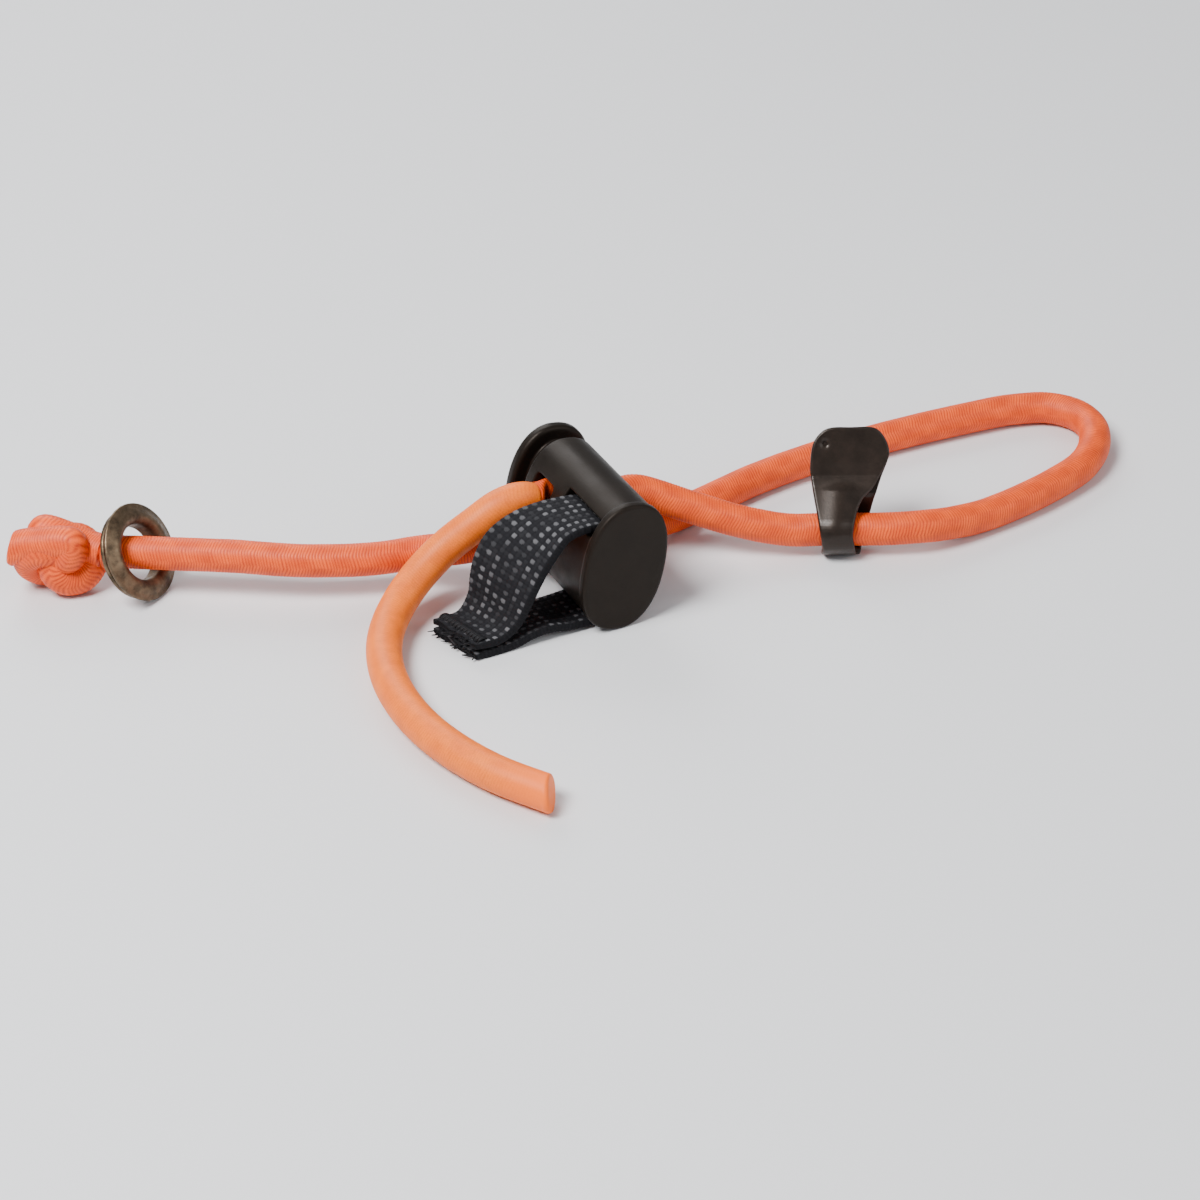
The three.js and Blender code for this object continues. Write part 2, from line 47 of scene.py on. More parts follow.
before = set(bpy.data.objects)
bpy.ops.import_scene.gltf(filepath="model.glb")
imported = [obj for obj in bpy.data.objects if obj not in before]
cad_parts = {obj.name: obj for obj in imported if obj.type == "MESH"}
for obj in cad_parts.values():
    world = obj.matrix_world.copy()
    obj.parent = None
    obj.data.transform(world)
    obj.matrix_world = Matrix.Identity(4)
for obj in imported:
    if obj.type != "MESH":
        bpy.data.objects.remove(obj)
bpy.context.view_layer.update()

MM = 0.001
ORIGIN = np.array([16.7, -5.05, 0.0])  # the lock's own frame lies this far from the part's origin
LEAN = math.radians(12)
BODY = (4.7, 7.4)  # half width and half height of the barrel's oval
RIM = (4.9, 7.6)
OVAL_POWER = 2.3
CORD_R = 1.85
TAIL_R = 1.95  # the cut tail has sprung open a little
STRAND_Z = 2.1
STRAND_END = BODY[0] + 0.15
GAP = 0.3
HOLE = (11.2, 15.3)  # the barrel's cord hole along its length
HOLE_Y = sum(HOLE) / 2
PINCH_TOP = 15.1
TRAVEL = 1.9
OPEN_END = 17.0
FLANGE = (19.1, 20.6)
ZONE = (1.2, 8.9)  # the tape's channel along the barrel
TAPE_Y = (1.5, 8.6)
TAPE_T = 1.0
SLOT = (3.4, 5.4)
CORE = (3.3, 6.0)
BORE_R, BORE_Z = 2.3, -1.0  # the spring bore
SPRING = {"turns": 6.0, "wire": 0.25, "r": 1.8, "low": 2.3, "high": 11.5}  # wire is its radius
TAB = {"x0": -18.2, "x1": -15.2, "low": 0.5, "high": 1.8, "skew": 0.95}
EYE_TURN, EYE_TILT = math.radians(-51), math.radians(27)
EYE_AXIS = np.array(
    [math.cos(EYE_TILT) * math.cos(EYE_TURN), math.cos(EYE_TILT) * math.sin(EYE_TURN), math.sin(EYE_TILT)]
)
EYE_AT = np.array([-44.2, 31.8, 5.5 * math.cos(EYE_TILT) + 0.05])
EYE_RUN_TURN = math.radians(-32)
EYE_RUN = np.array([math.cos(EYE_RUN_TURN), math.sin(EYE_RUN_TURN), 0.0])
KNOT_S = -4.2
HOOK_AT = np.array([29.1, 2.1, 2.95])
HOOK_TURN = math.radians(-27)
HOOK_RUN = np.array([math.cos(HOOK_TURN), math.sin(HOOK_TURN), 0.0])
HOOK_TILT = math.radians(-28)


def reach(half):
    """How far the leaned oval reaches below its middle: the support of a superellipse in the lean's direction."""
    q = OVAL_POWER / (OVAL_POWER - 1)
    return ((half[0] * math.sin(LEAN)) ** q + (half[1] * math.cos(LEAN)) ** q) ** (1 / q)


LOCK_Z = reach(RIM)


# ---------------------------------------------------------------- settings


def colour_setting(name, description, default):
    """A colour that can be changed in the sidebar."""
    return FloatVectorProperty(
        name=name, description=description, subtype="COLOR", size=3, min=0, max=1, default=default
    )


class CordLockCord(bpy.types.PropertyGroup):
    colour: colour_setting("Cord colour", "Colour of the elastic's sheath", (0.84, 0.088, 0.006))
    tail: colour_setting("Tail colour", "Colour of the cut tail, where the sheath is worn smooth", (0.98, 0.185, 0.007))
    stitch: FloatProperty(
        name="Stitch length", description="Length of one stitch of the sheath along the cord", default=0.00033,
        min=0.0002, unit="LENGTH",
    )
    relief: FloatProperty(
        name="Sheath relief", description="Height of the stitches", default=0.00006, min=0, unit="LENGTH"
    )


class CordLockTape(bpy.types.PropertyGroup):
    colour: colour_setting("Tape colour", "Colour of the tape's dark yarn", (0.0075, 0.0075, 0.009))
    warp: FloatProperty(
        name="Warp pitch", description="Spacing of the yarns across the tape", default=0.00055, unit="LENGTH"
    )
    weft: FloatProperty(
        name="Weft pitch", description="Spacing of the yarns along the tape", default=0.00047, unit="LENGTH"
    )


class CordLockHard(bpy.types.PropertyGroup):
    plastic: colour_setting("Plastic colour", "Colour of the barrel and button", (0.0075, 0.0055, 0.0042))
    hook: colour_setting("Hook colour", "Colour of the hook's lacquer", (0.012, 0.008, 0.006))
    eyelet: colour_setting("Eyelet colour", "Colour of the aged eyelet", (0.13, 0.09, 0.055))


# ---------------------------------------------------------------- meshes


def mesh_object(name, points, faces, smooth=True, attributes=None):
    """An object at the origin from points in the lock's millimetre frame and faces of vertex numbers."""
    mesh = bpy.data.meshes.new(name)
    points = (np.asarray(points, float) + ORIGIN) * MM
    mesh.from_pydata(points.tolist(), [], np.asarray(faces).tolist() if not isinstance(faces, list) else faces)
    for key, values in (attributes or {}).items():
        mesh.attributes.new(key, "FLOAT", "POINT").data.foreach_set("value", np.asarray(values, np.float32))
    mesh.polygons.foreach_set("use_smooth", np.full(len(mesh.polygons), smooth))
    mesh.update()
    obj = bpy.data.objects.new(name, mesh)
    bpy.context.scene.collection.objects.link(obj)
    return obj


def grid_faces(rows, columns, wrap_rows=False, wrap_columns=False):
    """Quads of a grid of rows x columns points, each from four neighbours. A wrapped side joins its last line to its
    first."""
    i, j = np.meshgrid(
        np.arange(rows if wrap_rows else rows - 1), np.arange(columns if wrap_columns else columns - 1), indexing="ij"
    )
    a, b = (i + 1) % rows, (j + 1) % columns
    quads = np.stack([i * columns + j, i * columns + b, a * columns + b, a * columns + j], axis=-1)
    return quads.reshape(-1, 4)


def capped_tubes(rows, sides, count=1):
    """Faces of count separate tubes, each of rows rings of sides points, with a flat face at each end."""
    first = (np.arange(count) * rows * sides)[:, None, None]
    walls = grid_faces(rows, sides, wrap_columns=True)[None] + first
    rim = np.arange(sides)
    ends = np.stack([rim, rows * sides - 1 - rim])[None] + first
    return walls.reshape(-1, 4).tolist() + ends.reshape(-1, sides).tolist()


def smooth_line(points, per_span=24):
    """A centripetal Catmull-Rom curve through the points: each span blends the parabolas through its neighbours, with
    knots spaced by the square root of the distance between points. The end spans use mirrored outer points."""
    p = np.asarray(points, float)
    p = np.vstack([2 * p[0] - p[1], p, 2 * p[-1] - p[-2]])
    step = np.linalg.norm(np.diff(p, axis=0), axis=1) ** 0.5
    knots = np.concatenate([[0], np.cumsum(step)])
    t = np.linspace(0, 1, per_span, endpoint=False)
    out = []
    for k in range(1, len(p) - 2):
        t0, t1, t2, t3 = knots[k - 1 : k + 3]
        u = (t1 + (t2 - t1) * t)[:, None]
        a1 = (t1 - u) / (t1 - t0) * p[k - 1] + (u - t0) / (t1 - t0) * p[k]
        a2 = (t2 - u) / (t2 - t1) * p[k] + (u - t1) / (t2 - t1) * p[k + 1]
        a3 = (t3 - u) / (t3 - t2) * p[k + 1] + (u - t2) / (t3 - t2) * p[k + 2]
        b1 = (t2 - u) / (t2 - t0) * a1 + (u - t0) / (t2 - t0) * a2
        b2 = (t3 - u) / (t3 - t1) * a2 + (u - t1) / (t3 - t1) * a3
        out.append((t2 - u) / (t2 - t1) * b1 + (u - t1) / (t2 - t1) * b2)
    return np.vstack(out + [p[-2:-1]])


def even(line, step):
    """The line again with points an even step apart, and their distances along it."""
    along = np.concatenate([[0], np.cumsum(np.linalg.norm(np.diff(line, axis=0), axis=1))])
    at = np.linspace(0, along[-1], max(2, math.ceil(along[-1] / step) + 1))
    return np.stack([np.interp(at, along, line[:, k]) for k in range(line.shape[1])], axis=1), at


def frames(line, level=(0, 0, 1)):
    """Unit vectors along, beside and above a line that never runs along level: beside is along x level."""
    t = np.gradient(line, axis=0)
    t /= np.linalg.norm(t, axis=1)[:, None]
    side = np.cross(t, np.asarray(level, float))
    side /= np.linalg.norm(side, axis=1)[:, None]
    return t, side, np.cross(side, t)


# ---------------------------------------------------------------- solids from distance fields


def round_max(a, b, r):
    """Both a and b: the larger distance, with the edge between them rounded to radius r."""
    return np.minimum(np.maximum(a, b), -r) + np.hypot(np.maximum(a + r, 0), np.maximum(b + r, 0))


def round_min(a, b, r):
    """Either a or b, with the corner between them filled to radius r."""
    return -round_max(-a, -b, r)


def oval(x, z, half, power=OVAL_POWER):
    """Distance to a superellipse |x/a|^n + |z/b|^n = 1, to first order: its level divided by its slope."""
    a, b = half
    u, v = np.abs(x) / a + 1e-9, np.abs(z) / b + 1e-9
    level = (u**power + v**power) ** (1 / power)
    slope = level ** (1 - power) * np.hypot(u ** (power - 1) / a, v ** (power - 1) / b)
    return (level - 1) / np.maximum(slope, 1e-6)


def span(y, low, high):
    """Distance to a slab between two levels."""
    return np.abs(y - (low + high) / 2) - (high - low) / 2


def brick(x, y, z, xs, ys, zs, r=0.15):
    """A box from its three spans, with its edges rounded to r."""
    return round_max(round_max(span(x, *xs), span(y, *ys), r), span(z, *zs), r)


def polygon(x, z, points):
    """Signed distance to a closed outline: the nearest of its sides, negative inside by the crossing rule."""
    points = np.asarray(points, float)
    best, inside = np.full(np.shape(x), np.inf), np.zeros(np.shape(x), bool)
    for (ax, az), (bx, bz) in zip(points, np.roll(points, -1, axis=0)):
        dx, dz = bx - ax, bz - az
        t = np.clip(((x - ax) * dx + (z - az) * dz) / max(dx * dx + dz * dz, 1e-12), 0, 1)
        best = np.minimum(best, np.hypot(x - ax - t * dx, z - az - t * dz))
        inside ^= ((az > z) != (bz > z)) & (x < (bx - ax) * (z - az) / ((bz - az) or 1e-12) + ax)
    return np.where(inside, -best, best)


def field_surface(field, low, high, step):
    """The surface where field(x, y, z) is zero, by surface nets: each grid cell that the surface crosses gets one
    point, the mean of the places where it crosses the cell's edges, and each crossed grid edge gets the quad of its
    four cells.
    Every point is then moved down the field's slope on to the surface."""
    axes = [np.arange(a, b + step, step) for a, b in zip(low, high)]
    f = field(axes[0][:, None, None], axes[1][None, :, None], axes[2][None, None, :]) + 1e-7
    f = np.broadcast_to(f, [len(a) for a in axes])
    inside = f < 0
    cells = tuple(n - 1 for n in f.shape)
    total, count = np.zeros(cells + (3,), np.float32), np.zeros(cells, np.int16)
    for d in range(3):
        for e in range(2):
            for g in range(2):
                start = [0, 0, 0]
                start[(d + 1) % 3], start[(d + 2) % 3] = e, g
                end = list(start)
                end[d] = 1
                at = lambda c: tuple(slice(k, k + n) for k, n in zip(c, cells))
                fa, fb = f[at(start)], f[at(end)]
                cross = (fa < 0) != (fb < 0)
                t = np.where(cross, fa / np.where(cross, fa - fb, 1), 0)
                for k in range(3):
                    total[..., k] += cross * (start[k] + (t if k == d else 0))
                count += cross
    active = count > 0
    number = np.full(cells, -1)
    number[active] = np.arange(active.sum())
    points = np.argwhere(active) + total[active] / count[active][:, None]
    points = np.array(low) + points * step
    quads = []
    for d in range(3):
        e, g = np.eye(3, dtype=int)[(d + 1) % 3], np.eye(3, dtype=int)[(d + 2) % 3]
        a = np.take(inside, range(f.shape[d] - 1), d)
        b = np.take(inside, range(1, f.shape[d]), d)
        ids = np.argwhere(a != b)
        at_e, at_g = ids @ e, ids @ g
        ids = ids[(at_e > 0) & (at_g > 0) & (at_e < f.shape[(d + 1) % 3] - 1) & (at_g < f.shape[(d + 2) % 3] - 1)]
        ring = np.stack([number[tuple((ids - c).T)] for c in (0 * e, e, e + g, g)], axis=1)
        low_in = a[tuple(ids.T)]
        quads += [ring[low_in], ring[~low_in][:, ::-1]]
    h = step * 0.4
    for _ in range(3):
        x, y, z = points.T
        here = field(x, y, z)
        slope = np.stack(
            [
                field(x + h, y, z) - field(x - h, y, z),
                field(x, y + h, z) - field(x, y - h, z),
                field(x, y, z + h) - field(x, y, z - h),
            ],
            axis=1,
        ) / (2 * h)
        size = np.maximum((slope**2).sum(1), 0.2)
        points = points - np.clip(here / size, -step * 0.5, step * 0.5)[:, None] * slope
    return points, np.vstack(quads)


def leaned(points):
    """From the lock's leaned frame to its standing frame: turned about Y and raised to rest on the floor."""
    x, y, z = points.T
    c, s = math.cos(LEAN), math.sin(LEAN)
    return np.stack([x * c + z * s, y, LOCK_Z - x * s + z * c], axis=1)


def upright_height(x, z):
    """The height above the floor of a point of the leaned frame."""
    return LOCK_Z - x * math.sin(LEAN) + z * math.cos(LEAN)


def barrel_field(x, y, z):
    """The oval tube and end plate, less the tape's slot and channel, the button's cavity, the spring's bore and the cord
    hole."""
    tube = round_max(oval(x, z, BODY), span(y, 0.2, OPEN_END), 0.3)
    plate = round_max(oval(x, z, RIM), span(y, 0, ZONE[0]), 0.35)
    solid = round_min(tube, plate, 0.1)
    slot = brick(x, y, z, (-9, 3.4), ZONE, SLOT)
    core = oval(x, z, CORE)
    flank = brick(x, y, z, (0, 9), ZONE, (-12, SLOT[1]))
    lowest = LOCK_Z - reach(CORE)
    x_world = x * math.cos(LEAN) + z * math.sin(LEAN)
    under = round_max(round_max(upright_height(x, z) - lowest, x_world - 1, 0.1), span(y, *ZONE), 0.15)
    channel = round_max(np.minimum(flank, under), -core, 0.1)
    cavity = round_max(oval(x, z, (BODY[0] - 1.2, BODY[1] - 1.2)), span(y, 9.7, 30), 0.1)
    bore = round_max(np.hypot(x, z - BORE_Z) - BORE_R, span(y, 2.0, 10.5), 0.1)
    solid = round_max(solid, -slot, 0.2)
    solid = round_max(solid, -channel, 0.15)
    solid = round_max(solid, -cavity, 0.2)
    solid = np.maximum(solid, -bore)
    return round_max(solid, -cord_hole(y, z, 0), 0.18)


def cord_hole(y, z, shift):
    """A rounded opening right through along X, for two strands one above the other."""
    return round_max(span(y, HOLE[0] + shift, HOLE[1] + shift), span(z, -4.3, 4.3), 0.6)


def button_field(x, y, z):
    """The push button: a flanged oval stem with its own cord hole and a peg for the spring."""
    stem = round_max(oval(x, z, (3.2, 5.9)), span(y, 11.8, 19.6), 0.15)
    dish = 0.16 * np.clip(1 - (x / 3.6) ** 2 - (z / 6.2) ** 2, 0, 1) ** 0.5
    flange = round_max(oval(x, z, RIM), span(y, *FLANGE), 0.5)
    flange = round_max(flange, y - FLANGE[1] + dish, 0.1)
    peg = round_max(np.hypot(x, z - BORE_Z) - 1.2, span(y, 10.3, 12.5), 0.2)
    solid = round_min(stem, flange, 0.25)
    solid = round_min(solid, peg, 0.15)
    return round_max(solid, -cord_hole(y, z, TRAVEL), 0.15)


def drop_outline(r, tip, half):
    """A circle of radius r drawn up to a blunt tip: two tangents and the arc below them."""
    reach = math.hypot(tip, half)
    start = math.atan2(tip, half) - math.acos(r / reach)
    t = start - np.linspace(0, 2 * start + math.pi, 33)
    return np.vstack([[half, tip], np.stack([r * np.cos(t), r * np.sin(t)], axis=1), [-half, tip]])


def blended(a, b, c, d, t):
    """The uniform Catmull-Rom blend from b to c."""
    return 0.5 * (2 * b + (c - a) * t + (2 * a - 5 * b + 4 * c - d) * t**2 + (3 * b - a - 3 * c + d) * t**3)


def face_outline(points):
    """A smooth closed outline through the points."""
    p = np.asarray(points, float)
    t = np.linspace(0, 1, 5, endpoint=False)[:, None, None]
    q = blended(np.roll(p, 1, 0), p, np.roll(p, -1, 0), np.roll(p, -2, 0), t)
    return q.transpose(1, 0, 2).reshape(-1, 2)


def open_spline(points, per_span=40):
    """A smooth open line through the points, with the same share of the way along for the same point number."""
    p = np.asarray(points, float)
    p = np.vstack([p[:1], p, p[-1:]])
    t = np.linspace(0, 1, per_span, endpoint=False)[:, None, None]
    q = blended(p[:-3], p[1:-2], p[2:-1], p[3:], t)
    return np.vstack([q.transpose(1, 0, 2).reshape(-1, p.shape[1]), p[-1:]])


PADDLE = [[-1.9, 11.4], [0, 11.4], [2.3, 11.4], [3.4, 10.8], [4.2, 9.3], [4.2, 7.9]]
SHOULDER = [[-4.45, 6.0], [-4.45, 8.2], [-4.1, 9.8], [-3.1, 11.0]]
FRONT = face_outline(
    PADDLE
    + [[3.3, 6.1], [2.4, 4.6], [1.4, 3.6], [0.8, 2.6], [0.35, 1.0], [0.1, -0.6], [0.4, -2.2], [0.7, -3.6]]
    + [[-1.4, -4.0], [-3.1, -3.6], [-3.3, -1.8], [-3.6, 0], [-3.9, 2.0], [-4.2, 4.0]]
    + SHOULDER
)
BACK = face_outline(
    PADDLE
    + [[3.4, 5.8], [2.7, 3.6], [2.2, 1.6], [1.7, -0.6], [1.1, -2.4], [0.7, -3.6], [-1.4, -4.0], [-3.1, -3.6]]
    + [[-3.1, -1.8], [-2.6, -0.4], [-1.2, 1.2], [0.2, 2.6], [-0.5, 3.7], [-3.6, 4.4]]
    + SHOULDER
)


def hook_field(x, y, z):
    """A flat paddle and a drop-shaped eye, seen from the side, cut by the front strip's outline before the cord and by
    the rear leg's outline behind it. x is along the cord, y back and z up the paddle. The front strip bulges across
    its width below the crease, and the paddle is very slightly dished."""
    middle = -1.9 + 0.12 * z
    bulge = 0.42 * np.exp(-(((x - middle) / 1.5) ** 2))
    bulge = bulge * np.clip((5.6 - z) / 1.2, 0, 1) * np.clip((z + 3.6) / 1.5, 0, 1)
    y_front = y + np.where(y < 0, bulge, 0)
    outer = polygon(y_front + 0 * z, z + 0 * y_front, drop_outline(2.85, 5.6, 0.4))
    inner = polygon(y + 0 * z, z + 0 * y, drop_outline(2.05, 3.8, 0.05))
    eye = round_max(outer, -inner, 0.2)
    dimple = 0.22 * np.exp(-(((x + 2.9) / 0.5) ** 2) - ((z - 9.6) / 0.5) ** 2)
    dish = 0.14 * np.clip(1 - (x / 4.2) ** 2, 0, 1) * np.clip((z - 5.8) / 1.6, 0, 1) * np.clip((11.2 - z) / 1.2, 0, 1)
    paddle = round_max(np.abs(y - dish - np.where(y < 0, dimple, 0)) - 0.4, 4.8 - z, 0.1)
    side = round_min(eye + 0 * x, paddle, 0.5)
    front, back = polygon(x + 0 * z, z + 0 * x, FRONT), polygon(x + 0 * z, z + 0 * x, BACK)
    face = np.minimum(np.maximum(front, y), np.maximum(back, -y))
    return round_max(side, face, 0.25)


def placed_hook(points):
    """The hook's own frame, tipped back about the cord and turned to it."""
    x, y, z = points.T
    c, s = math.cos(HOOK_TILT), math.sin(HOOK_TILT)
    y, z = y * c - z * s, y * s + z * c
    c, s = math.cos(HOOK_TURN), math.sin(HOOK_TURN)
    return np.stack([x * c - y * s, x * s + y * c, z], axis=1) + HOOK_AT


# ---------------------------------------------------------------- cords


def outside(side, z, more=0.0):
    """A place on a strand just outside the lock: side is 1 or -1, and more is how much further out."""
    x = side * (STRAND_END + GAP + more)
    return leaned(np.array([[x, HOLE_Y, z]]))[0].tolist()


def along(at, run, s):
    """A place at distance s from at, along the direction run."""
    return (at + run * s).tolist()


TAIL_ROUTE = [
    outside(-1, STRAND_Z), outside(-1, STRAND_Z, 1.6), [-8.7, 13.4, 10.6], [-11.4, 13.7, 9.1], [-15.2, 14.2, 6.6],
    [-19.0, 13.3, 4.4], [-22.6, 10.9, 2.75], [-25.6, 6.8, 2.1], [-27.7, 0.9, TAIL_R], [-28.4, -6.1, TAIL_R],
    [-27.6, -12.9, TAIL_R], [-25.2, -20.0, TAIL_R], [-21.6, -26.2, TAIL_R],
]
EYELET_ROUTE = [
    outside(-1, -STRAND_Z), outside(-1, -STRAND_Z, 2.2), [-11.2, 15.6, 5.1], [-16, 18.4, 4.2], [-21.4, 19.4, 4.3],
    [-28.7, 22.3, 4.6], along(EYE_AT, EYE_RUN, 10.5), along(EYE_AT, EYE_RUN, 7), along(EYE_AT, EYE_RUN, 3.5),
    along(EYE_AT, EYE_RUN, 0), along(EYE_AT, EYE_RUN, KNOT_S + GAP),
]
LOOP_ROUTE = [
    outside(1, STRAND_Z), outside(1, STRAND_Z, 2.6), [13.0, 10.9, 5.9], [18.0, 7.8, 4.1],
    along(HOOK_AT, HOOK_RUN, -7), along(HOOK_AT, HOOK_RUN, -3.5), along(HOOK_AT, HOOK_RUN, 0),
    along(HOOK_AT, HOOK_RUN, 3.5), [36.0, -0.9, 2.9], [40.0, -1.2, 2.4], [44.8, -0.8, CORD_R], [50.4, 0.0, CORD_R],
    [55.6, 1.3, CORD_R], [60.3, 3.1, CORD_R], [64.0, 6.1, CORD_R], [66.3, 9.9, CORD_R], [66.4, 13.4, CORD_R],
    [64.5, 16.3, CORD_R], [60.3, 18.1, CORD_R], [54, 18.9, CORD_R], [46, 19.4, CORD_R], [36, 19.4, CORD_R],
    [26, 18.3, CORD_R], [17.5, 16.3, CORD_R], [11.5, 14.4, 2.5], outside(1, -STRAND_Z, 2.6), outside(1, -STRAND_Z),
]


KNOT_SIDE = np.array([-EYE_RUN[1], EYE_RUN[0], 0.0])


def knot_route():
    """An overhand knot pulled tight: nearly two turns round a level axis, whose distance and place along that axis
    swing three times, so that the cord passes over and under itself, with both ends led out along the cord's run."""
    up = np.array([0.0, 0.0, 1.0])
    middle = EYE_AT + EYE_RUN * (KNOT_S - 4.7) - up * 0.45
    a = np.linspace(0.75, 4 * math.pi - 0.75, 26)[:, None]
    out = 2.0 + 1.6 * np.cos(1.5 * a)
    turns = middle - EYE_RUN * out * np.sin(a) + up * out * np.cos(a) + KNOT_SIDE * 1.4 * np.sin(1.5 * a)
    start = [EYE_AT + EYE_RUN * (KNOT_S + GAP + 0.05), EYE_AT + EYE_RUN * (KNOT_S - 1.2) + up * 0.2 + KNOT_SIDE * 0.4]
    end = [middle - EYE_RUN * 2.9 + up * 1.7 - KNOT_SIDE * 1.2, middle - EYE_RUN * 5.0 + up * 1.1 - KNOT_SIDE * 1.3]
    return np.vstack([start, turns, end])


def sheath(s, turn, stitch, columns=8):
    """Relief of the sheath from 0 to 1: fine ribs almost square to the cord, whose stitches slant one way and then the
    other in bands round it, each rib a rounded bump along the cord, a little uneven from one stitch to the next."""
    column = turn * columns
    zigzag = np.abs((column % 2) - 1)
    place = s / stitch + 1.1 * zigzag + 0.12 * np.sin(s * 1.7) + 0.1 * np.sin(s * 4.1 + 6 * np.pi * turn)
    wave = np.abs(np.sin(math.pi * place))
    uneven = 0.86 + 0.14 * np.sin(np.floor(place) * 12.9898 + np.floor(column) * 78.233)
    return wave**0.7 * uneven


def tube(line, settings, radius=CORD_R, relief=1.0, cut=False, mouth=0.1, step=0.066, around=44, level=(0, 0, 1)):
    """A cord's skin: circles round the line, with the sheath's relief added to the radius. A cut end is slanted, with a
    softened rim. Returns points, faces and the relief and nearness to the cut of every point."""
    line, s = even(line, step)
    t, side, up = frames(line, level)
    turn = np.arange(around) / around
    height = sheath(s[:, None], turn[None, :], settings.stitch / MM)
    r = radius + settings.relief / MM * relief * (height - 0.7)
    left = s[-1] - s
    r = r * (1 - mouth * np.clip(1 - s / 3.5, 0, 1) ** 2)[:, None]
    if cut:
        r = r * (1 - 0.16 * np.clip(1 - left / 0.35, 0, 1) ** 2)[:, None]
    angle = 2 * math.pi * turn
    ring = side[:, None, :] * np.cos(angle)[None, :, None] + up[:, None, :] * np.sin(angle)[None, :, None]
    points = line[:, None, :] + ring * r[..., None]
    near_cut = np.clip(1 - left / 7, 0, 1) if cut else 0 * s
    if cut:
        slant = np.clip(1 - left / 4, 0, 1)[:, None] * (0.75 * np.cos(angle) - 0.25 * np.sin(angle))[None, :]
        points = points + t[:, None, :] * slant[..., None]
    rows = len(line)
    points = np.vstack([points.reshape(-1, 3), line[0], line[-1] - t[-1] * (0.25 if cut else 0)])
    faces = grid_faces(rows, around, wrap_columns=True).tolist()
    first, last = list(range(around)), list(range((rows - 1) * around, rows * around))
    faces += [[len(points) - 2, b, a] for a, b in zip(first, first[1:] + first[:1])]
    faces += [[len(points) - 1, a, b] for a, b in zip(last, last[1:] + last[:1])]
    value = np.concatenate([height.ravel(), [0.3, 0.3]])
    nearness = np.concatenate([np.repeat(near_cut, around), [0, 1.0 if cut else 0]])
    return points, faces, value, nearness


# ---------------------------------------------------------------- materials


def material(name, colour, roughness, metallic=0.0, coat=0.0, specular=None, tint=None):
    """A new material with its node tree and its shader, whose plain values are set on the shader's own sockets."""
    m = bpy.data.materials.new(name)
    m.use_nodes = True
    nodes = m.node_tree.nodes
    shader = nodes["Principled BSDF"]
    shader.inputs["Base Color"].default_value = (*colour, 1)
    shader.inputs["Roughness"].default_value = roughness
    shader.inputs["Metallic"].default_value = metallic
    if coat:
        shader.inputs["Coat Weight"].default_value = coat
        shader.inputs["Coat Roughness"].default_value = 0.25
    if specular:
        shader.inputs["Specular IOR Level"].default_value = specular
    if tint:
        shader.inputs["Specular Tint"].default_value = (*tint, 1)
    return m, m.node_tree, shader


def node(tree, kind, **values):
    """A new node, with values for its inputs or its own settings."""
    n = tree.nodes.new(kind)
    for key, value in values.items():
        if key in n.inputs:
            n.inputs[key].default_value = value
        else:
            setattr(n, key, value)
    return n


def noise(tree, scale, detail, rough=0.6):
    """Noise that stays fixed to the object."""
    place = node(tree, "ShaderNodeTexCoord")
    n = node(tree, "ShaderNodeTexNoise", Scale=scale, Detail=detail, Roughness=rough)
    tree.links.new(place.outputs["Object"], n.inputs["Vector"])
    return n


def ramp(tree, source, low, high, at=(0.3, 0.7)):
    """Blends from the low colour to the high one as the source goes between the two values of at."""
    r = node(tree, "ShaderNodeValToRGB")
    r.color_ramp.elements[0].position, r.color_ramp.elements[1].position = at
    r.color_ramp.elements[0].color, r.color_ramp.elements[1].color = (*low, 1), (*high, 1)
    tree.links.new(source, r.inputs["Fac"])
    return r


def bump(tree, shader, source, distance, strength):
    """Fine relief from a height, in metres."""
    b = node(tree, "ShaderNodeBump", Strength=strength, Distance=distance)
    tree.links.new(source, b.inputs["Height"])
    tree.links.new(b.outputs["Normal"], shader.inputs["Normal"])


def multiplied(tree, a, b, factor):
    """Colour a darkened by colour b."""
    mix = node(tree, "ShaderNodeMix", data_type="RGBA", blend_type="MULTIPLY")
    mix.inputs["Factor"].default_value = factor
    tree.links.new(a, mix.inputs[6])
    tree.links.new(b, mix.inputs[7])
    return mix.outputs[2]


def shade(colour, factor):
    """A lighter or darker tone of the colour."""
    return tuple(min(1.0, c * factor) for c in colour)


def mottled(made, colour, tones, gloss, broad, fine, relief, at=(0.3, 0.7), fine_gloss=True):
    """A hard finish whose tone changes with broad noise and whose gloss changes with fine noise, or with the broad one,
    over a fine relief."""
    m, tree, shader = made
    broad, fine = noise(tree, *broad), noise(tree, *fine)
    c = ramp(tree, broad.outputs["Fac"], shade(colour, tones[0]), shade(colour, tones[1]), at)
    tree.links.new(c.outputs["Color"], shader.inputs["Base Color"])
    r = ramp(tree, (fine if fine_gloss else broad).outputs["Fac"], (gloss[0],) * 3, (gloss[1],) * 3)
    tree.links.new(r.outputs["Color"], shader.inputs["Roughness"])
    bump(tree, shader, fine.outputs["Fac"], *relief)
    return m


def plastic_material(colour):
    """Satin moulded plastic: a fine spark-eroded grain, faint flow marks and a slightly uneven gloss."""
    made = material("moulded plastic", colour, 0.4, specular=0.16, tint=(1, 0.86, 0.76))
    return mottled(made, colour, (0.8, 1.45), (0.36, 0.52), (260, 5), (5200, 3), (0.00002, 0.5), fine_gloss=False)


